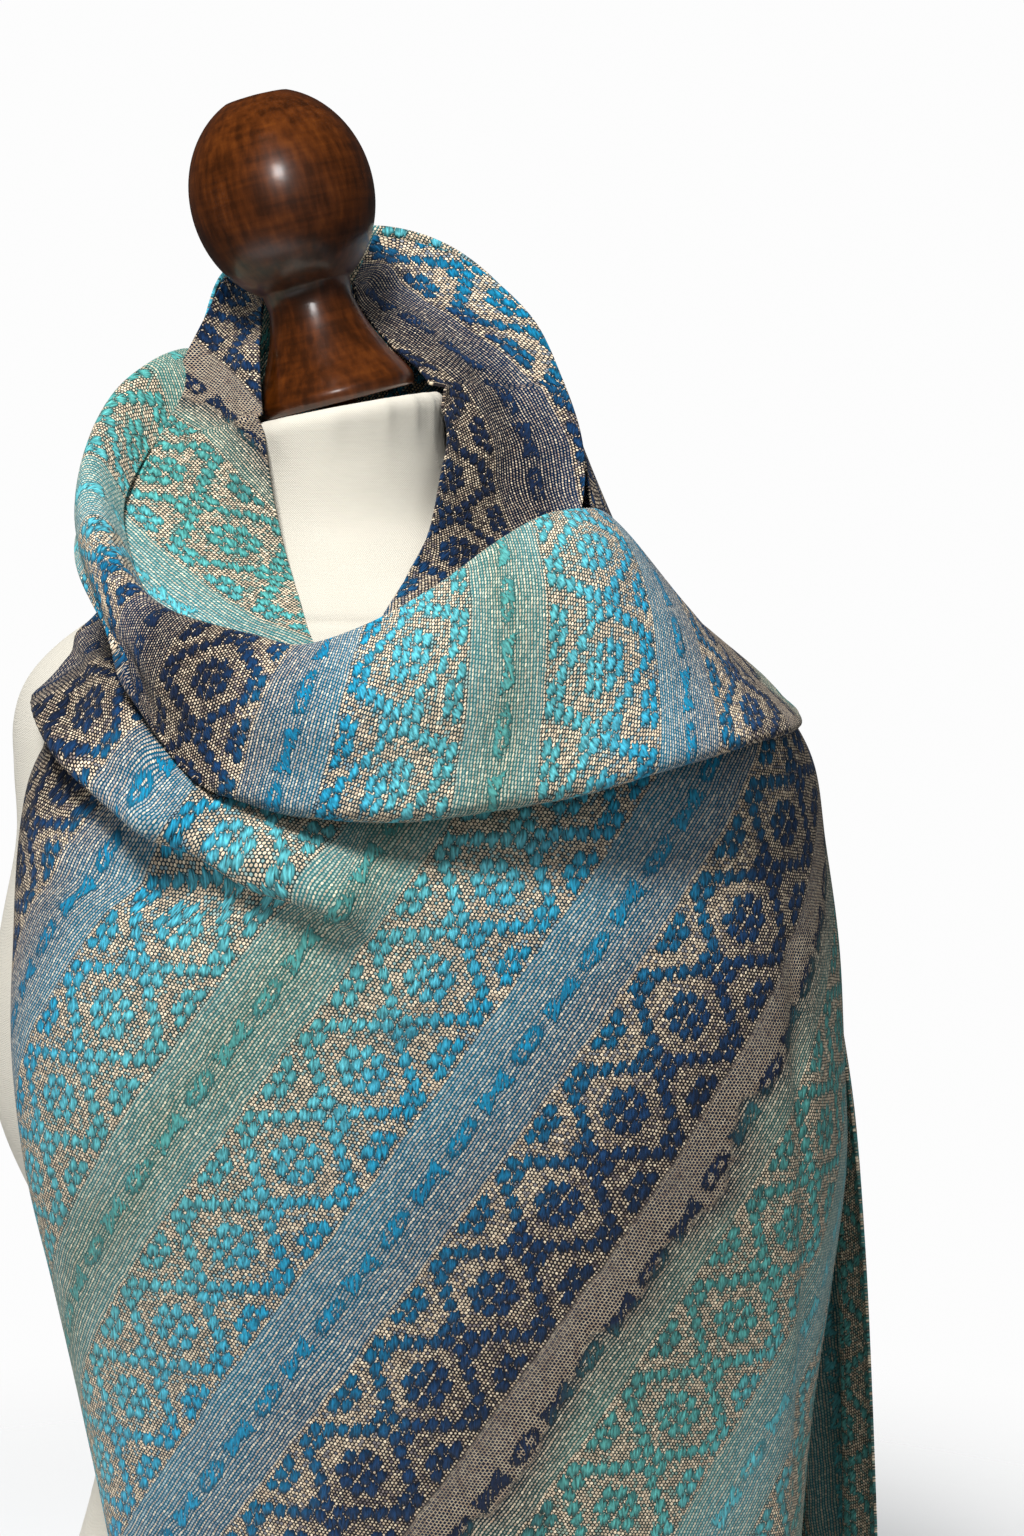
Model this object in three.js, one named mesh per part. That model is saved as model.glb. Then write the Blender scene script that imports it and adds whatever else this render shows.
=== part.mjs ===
// Handwoven shawl wound once round the neck of a limbless dress form.
// Millimetres, +Z up. The form faces -Y, its own left is +X, and the origin is the middle of the
// flat underside that it stands on. The cloth is laid out in a frame turned about Z by DRAPE_TURN,
// because the swag hangs square to that direction. A place in that frame is given as
// [across, deep, up]: deep is negative on the side that the swag hangs on.

import * as THREE from 'three';

// ---------------------------------------------------------------- driving dimensions
const CLOTH_WALL = 2.0;
const SEAT_GAP = 1.1;
const LAYER_GAP = 1.5;
const DRAPE_TURN = THREE.MathUtils.degToRad(30);

const NECK_TOP = 740;
const NECK_RIM = 6;
const NECK_LIFT = 6.9;
const NECK_SLOPE = 0.19;
const FORM_SEGMENTS = 40;
const FORM_RINGS = 32;

const FINIAL_BASE_RADIUS = 40;
const FINIAL_WAIST_RADIUS = 21;
const BALL_RADIUS = 45.3;
const BALL_HALF_HEIGHT = 52;
const BALL_CENTRE = 104;
const BALL_FLAT_RADIUS = 16;
const SPIGOT_RADIUS = 10;
const SPIGOT_LENGTH = 2;
const FINIAL_FOOT = [0, 0, NECK_TOP + 10.8];
const FINIAL_LEAN_ACROSS = THREE.MathUtils.degToRad(14.5);
const FINIAL_LEAN_DEEP = THREE.MathUtils.degToRad(3);

const finish = (color, roughness) => new THREE.MeshStandardMaterial({ color, roughness, metalness: 0 });
const LINEN = finish('#ece5d3', 0.9);
const VARNISHED_WOOD = finish('#4a2413', 0.3);

// ---------------------------------------------------------------- curves through rows
const clamp = (value, low, high) => Math.min(high, Math.max(low, value));
const lerp = (a, b, t) => a + (b - a) * t;
const bump = (x) => Math.exp(-x * x);

function hermite(start, end, slopeIn, slopeOut, t) {
  const t2 = t * t;
  const t3 = t2 * t;
  return (2 * t3 - 3 * t2 + 1) * start + (t3 - 2 * t2 + t) * slopeIn
    + (3 * t2 - 2 * t3) * end + (t3 - t2) * slopeOut;
}

// A smooth value through evenly spaced numbers, at place 0 to 1 along them.
function through(values, place) {
  const last = values.length - 1;
  const x = clamp(place, 0, 1) * last;
  const i = Math.min(Math.floor(x), last - 1);
  const before = i > 0 ? values[i - 1] : 2 * values[0] - values[1];
  const after = i + 2 <= last ? values[i + 2] : 2 * values[last] - values[last - 1];
  return hermite(values[i], values[i + 1], (values[i + 1] - before) / 2, (after - values[i]) / 2, x - i);
}

const throughPoints = (points, place) =>
  [0, 1, 2].map((axis) => through(points.map((point) => point[axis]), place));

// The rows of a table, as one function of the place along them that gives every column.
function columns(names, rows) {
  const table = names.map((name, column) => [name, rows.map((row) => row[column])]);
  return (place) => Object.fromEntries(table.map(([name, values]) => [name, through(values, place)]));
}

// ---------------------------------------------------------------- closed meshes
function solidFrom(points, faces) {
  const geometry = new THREE.BufferGeometry();
  geometry.setAttribute('position', new THREE.Float32BufferAttribute(points.flat(), 3));
  const volume = faces.reduce((sum, face) => {
    const [a, b, c] = face.map((index) => new THREE.Vector3(...points[index]));
    return sum + a.dot(b.cross(c));
  }, 0);
  const outward = volume > 0 ? faces : faces.map(([a, b, c]) => [a, c, b]);
  geometry.setIndex(outward.flat());
  geometry.computeVertexNormals();
  return geometry;
}

// The middle of a cloth as a grid of places, with its normal at each.
function clothGrid(surface, uCount, vCount) {
  const grid = [];
  for (let i = 0; i <= uCount; i += 1) {
    grid.push([]);
    for (let j = 0; j <= vCount; j += 1) {
      grid[i].push({ place: new THREE.Vector3(...surface(i / uCount, j / vCount)) });
    }
  }
  const at = (i, j) => grid[clamp(i, 0, uCount)][clamp(j, 0, vCount)].place;
  grid.forEach((line, i) => line.forEach((node, j) => {
    const alongU = at(i + 1, j).clone().sub(at(i - 1, j));
    const alongV = at(i, j + 1).clone().sub(at(i, j - 1));
    node.normal = alongU.cross(alongV).normalize();
  }));
  return grid;
}

// A wall of cloth: its two faces lie half a wall either side of the grid.
function clothWall(grid) {
  const uCount = grid.length - 1;
  const vCount = grid[0].length - 1;
  const stride = (uCount + 1) * (vCount + 1);
  const points = [1, -1].flatMap((side) => grid.flat().map(({ place, normal }) =>
    place.clone().addScaledVector(normal, side * CLOTH_WALL / 2).toArray()));
  const faces = [];
  const at = (i, j, side) => (side > 0 ? 0 : stride) + i * (vCount + 1) + j;
  const quad = (a, b, c, d) => faces.push([a, b, c], [a, c, d]);
  for (let i = 0; i < uCount; i += 1) {
    for (let j = 0; j < vCount; j += 1) {
      quad(at(i, j, 1), at(i + 1, j, 1), at(i + 1, j + 1, 1), at(i, j + 1, 1));
      quad(at(i, j, -1), at(i, j + 1, -1), at(i + 1, j + 1, -1), at(i + 1, j, -1));
    }
    quad(at(i, 0, 1), at(i, 0, -1), at(i + 1, 0, -1), at(i + 1, 0, 1));
    quad(at(i, vCount, 1), at(i + 1, vCount, 1), at(i + 1, vCount, -1), at(i, vCount, -1));
  }
  for (let j = 0; j < vCount; j += 1) {
    quad(at(0, j, 1), at(0, j + 1, 1), at(0, j + 1, -1), at(0, j, -1));
    quad(at(uCount, j, 1), at(uCount, j, -1), at(uCount, j + 1, -1), at(uCount, j + 1, 1));
  }
  return solidFrom(points, faces);
}

// ---------------------------------------------------------------- dress form
// A row for each level: its height, half breadth, depth to the front and back, and squareness.
const FORM_NAMES = ['halfBreadth', 'front', 'back', 'square'];
const FORM_ROWS = [
  [0, 166, 116, 132, 2.3],
  [50, 170, 119, 138, 2.3],
  [100, 166, 117, 135, 2.3],
  [155, 146, 109, 119, 2.3],
  [205, 132, 99, 98, 2.25],
  [250, 125, 96, 87, 2.2],
  [300, 131, 106, 87, 2.25],
  [350, 150, 130, 94, 2.45],
  [400, 166, 145, 101, 2.65],
  [450, 172, 147, 108, 2.6],
  [495, 168, 141, 112, 2.45],
  [535, 168, 131, 113, 2.25],
  [568, 178, 123, 111, 2.1],
  [592, 184, 116, 107, 2.0],
  [612, 178, 109, 101, 1.95],
  [630, 160, 100, 95, 1.9],
  [648, 129, 89, 85, 1.9],
  [667, 91, 76, 72, 1.95],
  [690, 65, 61, 60, 2],
  [715, 55, 54, 54, 2],
  [740, 53, 53, 53, 2],
];

function formSection(up) {
  const last = FORM_ROWS.length - 1;
  const level = clamp(up, 0, NECK_TOP);
  const i = clamp(FORM_ROWS.findIndex((row) => row[0] >= level) - 1, 0, last - 1);
  const width = FORM_ROWS[i + 1][0] - FORM_ROWS[i][0];
  const t = (level - FORM_ROWS[i][0]) / width;
  const slope = (k, column) => {
    const before = FORM_ROWS[Math.max(k - 1, 0)];
    const after = FORM_ROWS[Math.min(k + 1, last)];
    return ((after[column] - before[column]) / (after[0] - before[0])) * width;
  };
  const value = (column) =>
    hermite(FORM_ROWS[i][column], FORM_ROWS[i + 1][column], slope(i, column), slope(i + 1, column), t);
  return Object.fromEntries(FORM_NAMES.map((name, k) => [name, value(k + 1)]));
}

function formPoint(angle, up) {
  const { halfBreadth, front, back, square } = formSection(up);
  const power = 2 / square;
  const x = Math.sign(Math.cos(angle)) * Math.abs(Math.cos(angle)) ** power * halfBreadth;
  const depth = Math.sin(angle) < 0 ? front : back;
  const y = Math.sign(Math.sin(angle)) * Math.abs(Math.sin(angle)) ** power * depth;
  return [x, y, up];
}

// How far a place lies outside the form's surface, near enough for setting cloth on it.
function outsideForm([x, y, up]) {
  const { halfBreadth, front, back, square } = formSection(up);
  const depth = y < 0 ? front : back;
  return ((Math.abs(x) / halfBreadth) ** square + (Math.abs(y) / depth) ** square) ** (1 / square) - 1;
}

// The neck's top leans towards the near side, as its finial does: the lift of a place near it.
function neckLift(x, y, up) {
  const t = clamp((up - 690) / (NECK_TOP - 690), 0, 1);
  const across = x * Math.cos(DRAPE_TURN) + y * Math.sin(DRAPE_TURN);
  return t * t * (3 - 2 * t) * (NECK_LIFT + NECK_SLOPE * across);
}

function formBody() {
  const points = [[0, 0, 0]];
  const faces = [];
  const ring = (k, s) => 1 + k * FORM_SEGMENTS + (s % FORM_SEGMENTS);
  for (let k = 0; k <= FORM_RINGS; k += 1) {
    const part = k / (FORM_RINGS - 1);
    const rim = k === FORM_RINGS;
    const level = part < 0.5 ? part * 2 * 520 : lerp(520, NECK_TOP - NECK_RIM, part * 2 - 1);
    for (let s = 0; s < FORM_SEGMENTS; s += 1) {
      const [x, y, up] = formPoint((s / FORM_SEGMENTS) * Math.PI * 2, rim ? NECK_TOP : level);
      const inward = rim ? 0.9 : 1;
      points.push([x * inward, y * inward, up + neckLift(x * inward, y * inward, up)]);
    }
  }
  points.push([0, 0, NECK_TOP + NECK_LIFT]);
  for (let s = 0; s < FORM_SEGMENTS; s += 1) {
    faces.push([0, ring(0, s + 1), ring(0, s)]);
    faces.push([points.length - 1, ring(FORM_RINGS, s), ring(FORM_RINGS, s + 1)]);
    for (let k = 0; k < FORM_RINGS; k += 1) {
      faces.push([ring(k, s), ring(k, s + 1), ring(k + 1, s + 1)]);
      faces.push([ring(k, s), ring(k + 1, s + 1), ring(k + 1, s)]);
    }
  }
  return solidFrom(points, faces);
}

// Moves a place of the drape off the form, so that the cloth rests on it.
function clearOfForm(place) {
  const cos = Math.cos(DRAPE_TURN);
  const sin = Math.sin(DRAPE_TURN);
  let p = [place[0] * cos - place[1] * sin, place[0] * sin + place[1] * cos, place[2]];
  const wanted = CLOTH_WALL / 2 + SEAT_GAP;
  const step = 0.5;
  for (let pass = 0; pass < 6 && p[2] < NECK_TOP + neckLift(p[0], p[1], NECK_TOP) + 3; pass += 1) {
    const value = outsideForm(p);
    const slope = [0, 1, 2].map((axis) => {
      const next = p.map((c, k) => (k === axis ? c + step : c));
      return (outsideForm(next) - value) / step;
    });
    const steep = Math.hypot(...slope);
    const distance = value / steep;
    if (distance >= wanted) break;
    const move = Math.min(wanted - distance, 20) / steep;
    p = p.map((c, axis) => c + slope[axis] * move);
  }
  return [p[0] * cos + p[1] * sin, p[1] * cos - p[0] * sin, p[2]];
}

// ---------------------------------------------------------------- turned finial
function neckFinial() {
  const profile = [
    [0, -SPIGOT_LENGTH],
    [SPIGOT_RADIUS, -SPIGOT_LENGTH],
    [SPIGOT_RADIUS, 0],
    [FINIAL_BASE_RADIUS - 1.5, 0],
    [FINIAL_BASE_RADIUS, 1.5],
    [FINIAL_BASE_RADIUS + 0.6, 4.5],
    [FINIAL_BASE_RADIUS - 0.6, 8],
    [36.6, 13],
    [32.2, 20],
    [28.2, 28],
    [24.8, 36],
    [22.4, 44],
    [FINIAL_WAIST_RADIUS, 52],
  ];
  const ballPoint = (angle) => [BALL_RADIUS * Math.cos(angle), BALL_CENTRE + BALL_HALF_HEIGHT * Math.sin(angle)];
  const firstAngle = -Math.acos(FINIAL_WAIST_RADIUS / BALL_RADIUS) + 0.03;
  const lastAngle = Math.acos(BALL_FLAT_RADIUS / BALL_RADIUS);
  const ballSteps = 14;
  for (let k = 0; k <= ballSteps; k += 1) {
    profile.push(ballPoint(lerp(firstAngle, lastAngle, k / ballSteps)));
  }
  profile.push([0, profile[profile.length - 1][1] + 0.8]);
  const geometry = new THREE.LatheGeometry(profile.map(([r, h]) => new THREE.Vector2(r, h)), 28);
  geometry.rotateX(Math.PI / 2);
  return geometry;
}

// ---------------------------------------------------------------- layers of cloth
// Each cloth lies on those laid before it. A layer is a fine grid of its places, and what is laid
// later keeps a wall and a small gap outside it.
const layers = [];
const LAYER_REACH = 12;

function layCloth(surface, uCount, vCount) {
  const nodes = clothGrid(surface, uCount, vCount).flat();
  for (const { place, normal } of nodes) {
    if (normal.x * place.x + normal.y * place.y < 0) normal.negate();
  }
  layers.push(nodes);
}

function clearOfLayers(place) {
  const p = new THREE.Vector3(...place);
  const wanted = CLOTH_WALL + LAYER_GAP;
  for (let pass = 0; pass < 3; pass += 1) {
    for (const nodes of layers) {
      let near = nodes[0];
      for (const node of nodes) {
        if (node.place.distanceToSquared(p) < near.place.distanceToSquared(p)) near = node;
      }
      const apart = p.clone().sub(near.place);
      const outside = apart.dot(near.normal);
      const beside = Math.sqrt(Math.max(apart.lengthSq() - outside ** 2, 0));
      if (outside < wanted && outside > -25 && beside < LAYER_REACH) {
        p.addScaledVector(near.normal, wanted - outside);
      }
    }
  }
  return p.toArray();
}

// ---------------------------------------------------------------- front sheet
// A row for each level from the top down. Each level is an arc that bulges forward from the left
// edge to the right turn. The rises lift the ends over the shoulders.
const SHEET_TABLE = columns(
  ['up', 'left', 'leftDeep', 'right', 'rightDeep', 'front', 'leftRise', 'rightRise'],
  [
    [594, -108, 6, 176, -48, -130, 43, 46],
    [585, -126, -18, 212, -34, -144, 33, 24],
    [565, -144, -32, 232, -30, -156, 20, 14],
    [535, -151, -42, 239, -30, -165, 6, 3],
    [490, -152, -58, 246, -28, -172, 0, 0],
    [440, -151, -74, 252, -26, -175, 0, 0],
    [385, -146, -70, 257, -22, -174, 0, 0],
    [325, -136, -52, 252, -18, -168, 0, 0],
    [260, -124, -42, 243, -16, -163, 0, 0],
    [190, -108, -60, 240, -14, -158, 0, 0],
    [125, -98, -80, 238, -12, -155, 0, 0],
    [70, -92, -90, 237, -10, -153, 0, 0],
  ],
);
const SHEET_FROM = THREE.MathUtils.degToRad(-90);
const SHEET_TO = THREE.MathUtils.degToRad(112);
const SHEET_SQUARE = 2.3;
const SHEET_HEM_DROP = 22;

// Folds of the sheet as soft ridges or troughs, each a line from one place to another.
const SHEET_FOLDS = [
  { from: [-146, 622], to: [-72, 566], width: 15, height: 15 },
  { from: [-72, 566], to: [10, 526], width: 13, height: 11 },
  { from: [10, 526], to: [38, 476], width: 13, height: 5 },
  { from: [-128, 574], to: [-60, 530], width: 14, height: -5 },
  { from: [222, 430], to: [214, 90], width: 14, height: 5 },
  { from: [120, 330], to: [150, 80], width: 26, height: 4 },
  { from: [10, 300], to: [30, 80], width: 28, height: 4 },
  { from: [-70, 290], to: [-45, 80], width: 24, height: -4 },
];

function foldHeight(folds, across, up) {
  return folds.reduce((sum, { from, to, width, height }) => {
    const run = [to[0] - from[0], to[1] - from[1]];
    const length = Math.hypot(...run);
    const t = clamp(((across - from[0]) * run[0] + (up - from[1]) * run[1]) / length ** 2, 0, 1);
    const away = Math.hypot(across - from[0] - t * run[0], up - from[1] - t * run[1]);
    return sum + height * bump(away / width);
  }, 0);
}

function frontSheet(u, v) {
  const row = SHEET_TABLE(v);
  const angle = lerp(SHEET_FROM, SHEET_TO, u);
  const power = 2 / SHEET_SQUARE;
  const side = Math.sign(Math.sin(angle)) * Math.abs(Math.sin(angle)) ** power;
  const forward = Math.sign(Math.cos(angle)) * Math.abs(Math.cos(angle)) ** power;
  const across = (row.left + row.right) / 2 + side * (row.right - row.left) / 2;
  const edgeDeep = lerp(row.leftDeep, row.rightDeep, (side + 1) / 2);
  const rise = side < 0 ? row.leftRise * side * side : row.rightRise * side * side;
  const up = row.up + rise - SHEET_HEM_DROP * v * v * (side + 1) / 2;
  const out = foldHeight(SHEET_FOLDS, across, up);
  const deep = edgeDeep + (row.front - edgeDeep) * forward - out * Math.abs(forward);
  return clearOfForm([across + out * side * (1 - Math.abs(forward)), deep, up]);
}

// ---------------------------------------------------------------- tail down the back
// A row for each level from the near shoulder down to the hem: how far the tail stands out
// sideways, how far it reaches back, and the depth of its hanging folds.
const TAIL_TABLE = columns(
  ['up', 'ridge', 'reach', 'centreDeep', 'rise', 'wave'],
  [
    [606, 200, 80, 28, 20, 0],
    [592, 214, 92, 35, 12, 1],
    [560, 230, 104, 42, 6, 2],
    [510, 243, 106, 48, 0, 4],
    [450, 252, 106, 52, 0, 6],
    [385, 261, 104, 54, 0, 8],
    [310, 267, 104, 56, 0, 9],
    [230, 271, 108, 58, 0, 10],
    [150, 274, 112, 60, 0, 11],
    [84, 276, 114, 60, 0, 12],
  ],
);
const TAIL_CENTRE = 70;
const TAIL_FROM = THREE.MathUtils.degToRad(-14);
const TAIL_TO = THREE.MathUtils.degToRad(100);
const TAIL_WAVES = 4.5;

function backTail(u, v) {
  const row = TAIL_TABLE(v);
  const angle = lerp(TAIL_FROM, TAIL_TO, u);
  const swell = row.wave * Math.cos(Math.PI * 2 * TAIL_WAVES * u + 0.5);
  const across = TAIL_CENTRE + (row.ridge - TAIL_CENTRE + swell) * Math.cos(angle);
  const deep = row.centreDeep + (row.reach + swell) * Math.sin(angle);
  const up = row.up + row.rise * Math.sin(Math.PI * u);
  return clearOfLayers(clearOfForm([across, deep, up]));
}

// ---------------------------------------------------------------- loop round the neck
// Rows from behind the finial down to the throat: the selvedge next to the neck, the upper edge,
// and how far the cloth hollows away between them.
const INNER_NAMES = ['inAcross', 'inDeep', 'inUp', 'outAcross', 'outDeep', 'outUp', 'hollow'];
const LEFT_TABLE = columns(INNER_NAMES, [
  [-37, 38, 806, -52, 46, 828, 3],
  [-37, 12, 800, -63, 27, 804, 5],
  [-37, -9, 780, -82, 6, 760, 4],
  [-35, -30, 754, -87, -8, 738, 6],
  [-32, -47, 731, -100, -26, 711, 8],
  [-27, -61, 703, -103, -46, 685, 10],
  [-20, -74, 676, -95, -66, 657, 8],
  [-12, -85, 654, -74, -88, 636, 5],
  [-6, -94, 638, -49, -108, 622, 3],
  [2, -102, 624, -22, -120, 615, 1],
]);
const RIGHT_TABLE = columns(INNER_NAMES, [
  [4, 42, 806, 16, 58, 838, 2],
  [9, 28, 812, 44, 56, 832, 4],
  [15, 20, 800, 70, 48, 820, 6],
  [33, 8, 781, 97, 29, 794, 8],
  [49, -2, 766, 111, 13, 765, 10],
  [56, -23, 738, 121, 0, 734, 12],
  [52, -46, 712, 122, -12, 706, 12],
  [47, -63, 687, 114, -42, 676, 11],
  [37, -81, 667, 116, -66, 671, 8],
  [28, -95, 648, 107, -94, 670, 5],
  [18, -105, 628, 90, -116, 664, 3],
]);

function innerLoop(table) {
  return (u, v) => {
    const row = table(u);
    const hollow = row.hollow * 4 * v * (1 - v);
    return clearOfForm([
      lerp(row.inAcross, row.outAcross, v),
      lerp(row.inDeep, row.outDeep, v) + hollow,
      lerp(row.inUp, row.outUp, v),
    ]);
  };
}

// Rows round the back of the neck from the far side to the near shoulder: the top of the loop,
// the lower edge that lies on the back, and how far the cloth stands out between them.
const BACK_TABLE = columns(
  ['topAcross', 'topDeep', 'topUp', 'lowAcross', 'lowDeep', 'lowUp', 'belly'],
  [
    [-68, 26, 792, -104, 64, 655, 3],
    [-60, 46, 818, -80, 98, 632, 9],
    [-38, 60, 834, -42, 124, 612, 15],
    [-7, 67, 842, 2, 130, 600, 18],
    [24, 67, 843, 50, 130, 596, 18],
    [54, 61, 833, 96, 122, 598, 15],
    [80, 48, 812, 136, 104, 604, 10],
    [99, 33, 784, 164, 76, 610, 5],
    [113, 17, 754, 182, 44, 616, 0],
    [122, 4, 724, 193, 10, 622, -2],
    [126, -4, 698, 194, -24, 627, -3],
  ],
);

function neckBack(u, v) {
  const row = BACK_TABLE(u);
  const out = [row.lowAcross - 20, row.lowDeep + 30];
  const reach = Math.hypot(...out);
  const belly = row.belly * Math.sin(Math.PI * v);
  return clearOfLayers(clearOfForm([
    lerp(row.topAcross, row.lowAcross, v) + (out[0] / reach) * belly,
    lerp(row.topDeep, row.lowDeep, v) + (out[1] / reach) * belly,
    lerp(row.topUp, row.lowUp, v ** 0.9),
  ]));
}

// ---------------------------------------------------------------- cowl
// A row for each station round the swag, from behind the far side to the near shoulder: the top
// of its roll, the foot that it turns under at, how far the cloth bellies out between them, and
// the shares of the lip inside the roll and of the tuck behind the foot.
const COWL_TABLE = columns(
  ['rollAcross', 'rollDeep', 'rollUp', 'footAcross', 'footDeep', 'footUp', 'belly', 'lip', 'tuck'],
  [
    [-73, 32, 777, -106, 78, 652, 6, 0.2, 0.3],
    [-81, 20, 776, -117, 54, 658, 5, 0.2, 0.4],
    [-92, 4, 770, -117, 24, 672, 4, 0.45, 0.6],
    [-106, -9, 757, -118, -4, 686, 5, 0.9, 0.8],
    [-115, -28, 736, -117, -30, 680, 6, 1, 1],
    [-117, -48, 711, -112, -58, 664, 7, 1, 1],
    [-108, -70, 684, -96, -86, 638, 8, 1, 1],
    [-93, -90, 663, -83, -107, 612, 9, 1, 1],
    [-74, -107, 651, -71, -124, 592, 10, 1, 1],
    [-54, -119, 645, -53, -139, 573, 12, 1, 1],
    [-31, -132, 640, -29, -151, 567, 13, 1, 1],
    [-8, -143, 636, -4, -161, 563, 14, 1, 1],
    [23, -148, 646, 37, -169, 562, 15, 1, 1],
    [54, -148, 663, 81, -173, 568, 15, 1, 1],
    [81, -142, 682, 117, -173, 575, 15, 1, 1],
    [103, -129, 694, 148, -169, 584, 15, 1, 1],
    [122, -104, 697, 171, -160, 590, 13, 1, 1],
    [130, -76, 696, 192, -146, 595, 9, 1, 0.8],
    [132, -50, 693, 210, -120, 597, 4, 1, 0.5],
    [131, -26, 692, 220, -84, 598, 0, 0.7, 0.3],
    [130, -4, 695, 222, -46, 600, -3, 0.3, 0.3],
  ],
);
const ROLL_RADIUS = 7;
const LIP_IN = 17;
const LIP_DROP = 14;
const COWL_TUCK = 13;
const COWL_CENTRE = [10, 0];

function cowl(u, v) {
  const row = COWL_TABLE(u);
  const roll = new THREE.Vector3(row.rollAcross, row.rollDeep, row.rollUp);
  const foot = new THREE.Vector3(row.footAcross, row.footDeep, row.footUp);
  const out = new THREE.Vector3(roll.x - COWL_CENTRE[0], roll.y - COWL_CENTRE[1], 0).normalize();
  const footOut = new THREE.Vector3(0, -1, 0).lerp(out, 0.5).normalize();
  const place = (from, direction, distance, lift) => from.clone().addScaledVector(direction, distance)
    .add(new THREE.Vector3(0, 0, lift));
  const face = (t, share) => place(roll.clone().lerp(foot, t), out, row.belly * share, 0);
  const lip = (inward, drop) => place(roll, out, -inward * row.lip * LIP_IN, -drop * row.lip * LIP_DROP);
  const controls = [
    lip(1, 1),
    lip(0.65, 0.4),
    lip(0.3, 0),
    place(roll, out, 0.15 * ROLL_RADIUS, 0),
    face(0.14, 0.75),
    face(0.42, 1.05),
    face(0.72, 0.85),
    place(foot, footOut, 3 * row.tuck, 4),
    place(foot, footOut, -4 * row.tuck, -2),
    place(foot, footOut, -COWL_TUCK * row.tuck, 6 * row.tuck),
  ];
  return clearOfLayers(clearOfForm(throughPoints(controls.map((point) => point.toArray()), v)));
}

// ---------------------------------------------------------------- the whole part
const object = new THREE.Group();
const drape = new THREE.Group();
drape.rotation.z = DRAPE_TURN;
object.add(drape);

function addPiece(parent, name, geometry, material) {
  const mesh = new THREE.Mesh(geometry, material);
  mesh.name = name;
  parent.add(mesh);
  return mesh;
}

function addCloth(name, surface, uCount, vCount, color) {
  addPiece(drape, name, clothWall(clothGrid(surface, uCount, vCount)), finish(color, 0.75));
}

addPiece(object, 'form_body', formBody(), LINEN);
const finial = addPiece(drape, 'neck_finial', neckFinial(), VARNISHED_WOOD);
finial.position.set(...FINIAL_FOOT);
finial.rotation.set(FINIAL_LEAN_DEEP, -FINIAL_LEAN_ACROSS, 0);

addCloth('front_sheet', frontSheet, 24, 24, '#3f7f96');
layCloth(frontSheet, 48, 48);
addCloth('back_tail', backTail, 28, 14, '#3f8a8c');
layCloth(backTail, 56, 42);
addCloth('neck_left', innerLoop(LEFT_TABLE), 18, 6, '#4c8f95');
addCloth('neck_right', innerLoop(RIGHT_TABLE), 18, 6, '#2f4f86');
addCloth('neck_back', neckBack, 20, 8, '#3a6f92');
layCloth(neckBack, 40, 24);
addCloth('cowl', cowl, 36, 15, '#3b7d9c');

export default object;
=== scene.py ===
"""Handwoven shawl wound once round the neck of a limbless dress form.

The cloth and the form are worked out in millimetres in a drape frame, turned about the vertical
from the form's own. A place there is [across, deep, up], and deep is negative towards the viewer.
Meshes are made in metres in the form's frame.
"""

import logging
import math
from dataclasses import dataclass, field
from enum import Enum

import bpy
import numpy as np
from mathutils import Matrix, Vector
from mathutils.kdtree import KDTree

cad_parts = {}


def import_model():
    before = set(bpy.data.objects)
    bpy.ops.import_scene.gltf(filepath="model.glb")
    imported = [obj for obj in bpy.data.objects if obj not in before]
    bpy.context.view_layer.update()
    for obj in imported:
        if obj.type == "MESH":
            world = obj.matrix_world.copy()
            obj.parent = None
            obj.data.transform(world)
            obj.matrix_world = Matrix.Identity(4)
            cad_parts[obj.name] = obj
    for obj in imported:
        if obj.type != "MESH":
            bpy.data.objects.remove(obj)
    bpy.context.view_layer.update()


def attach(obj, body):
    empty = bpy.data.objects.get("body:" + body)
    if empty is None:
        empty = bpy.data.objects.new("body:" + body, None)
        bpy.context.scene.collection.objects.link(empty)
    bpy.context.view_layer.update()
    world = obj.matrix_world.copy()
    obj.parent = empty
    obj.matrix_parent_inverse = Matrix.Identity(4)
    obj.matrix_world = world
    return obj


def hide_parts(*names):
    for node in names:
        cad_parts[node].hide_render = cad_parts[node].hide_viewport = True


log = logging.getLogger("shawl")

Socket = bpy.types.NodeSocket
Value = Socket | float
Colour = tuple[float, float, float]
Shade = Socket | tuple[float, float, float, float]
Place = tuple[float, float, float]

CLOTH_WALL = 2.0
SHELL_WALL = 1.5
SEAT_GAP = 1.1
LAYER_GAP = 1.5
LAYER_REACH = 12.0
LAYER_DEPTH = 25.0
LAYER_ROUNDS = 3
DRAPE_TURN = math.radians(30)
NECK_TOP = 740.0
NECK_LEAN_FROM = 690.0
MILLIMETRE = 0.001
LINEAR_LIGHT_BEND = 0.04045


# ---------------------------------------------------------------- curves through rows
def hermite(
    start: np.ndarray, end: np.ndarray, slope_in: np.ndarray, slope_out: np.ndarray, t: np.ndarray
) -> np.ndarray:
    """Gives the cubic through two values with the slopes at each.

    Args:
        start: Value at the beginning.
        end: Value at the end.
        slope_in: Slope at the beginning.
        slope_out: Slope at the end.
        t: Share of the way, 0 to 1.

    Returns:
        The value at each share.
    """
    t2, t3 = t * t, t * t * t
    return (
        (2 * t3 - 3 * t2 + 1) * start
        + (t3 - 2 * t2 + t) * slope_in
        + (3 * t2 - 2 * t3) * end
        + (t3 - t2) * slope_out
    )


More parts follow.
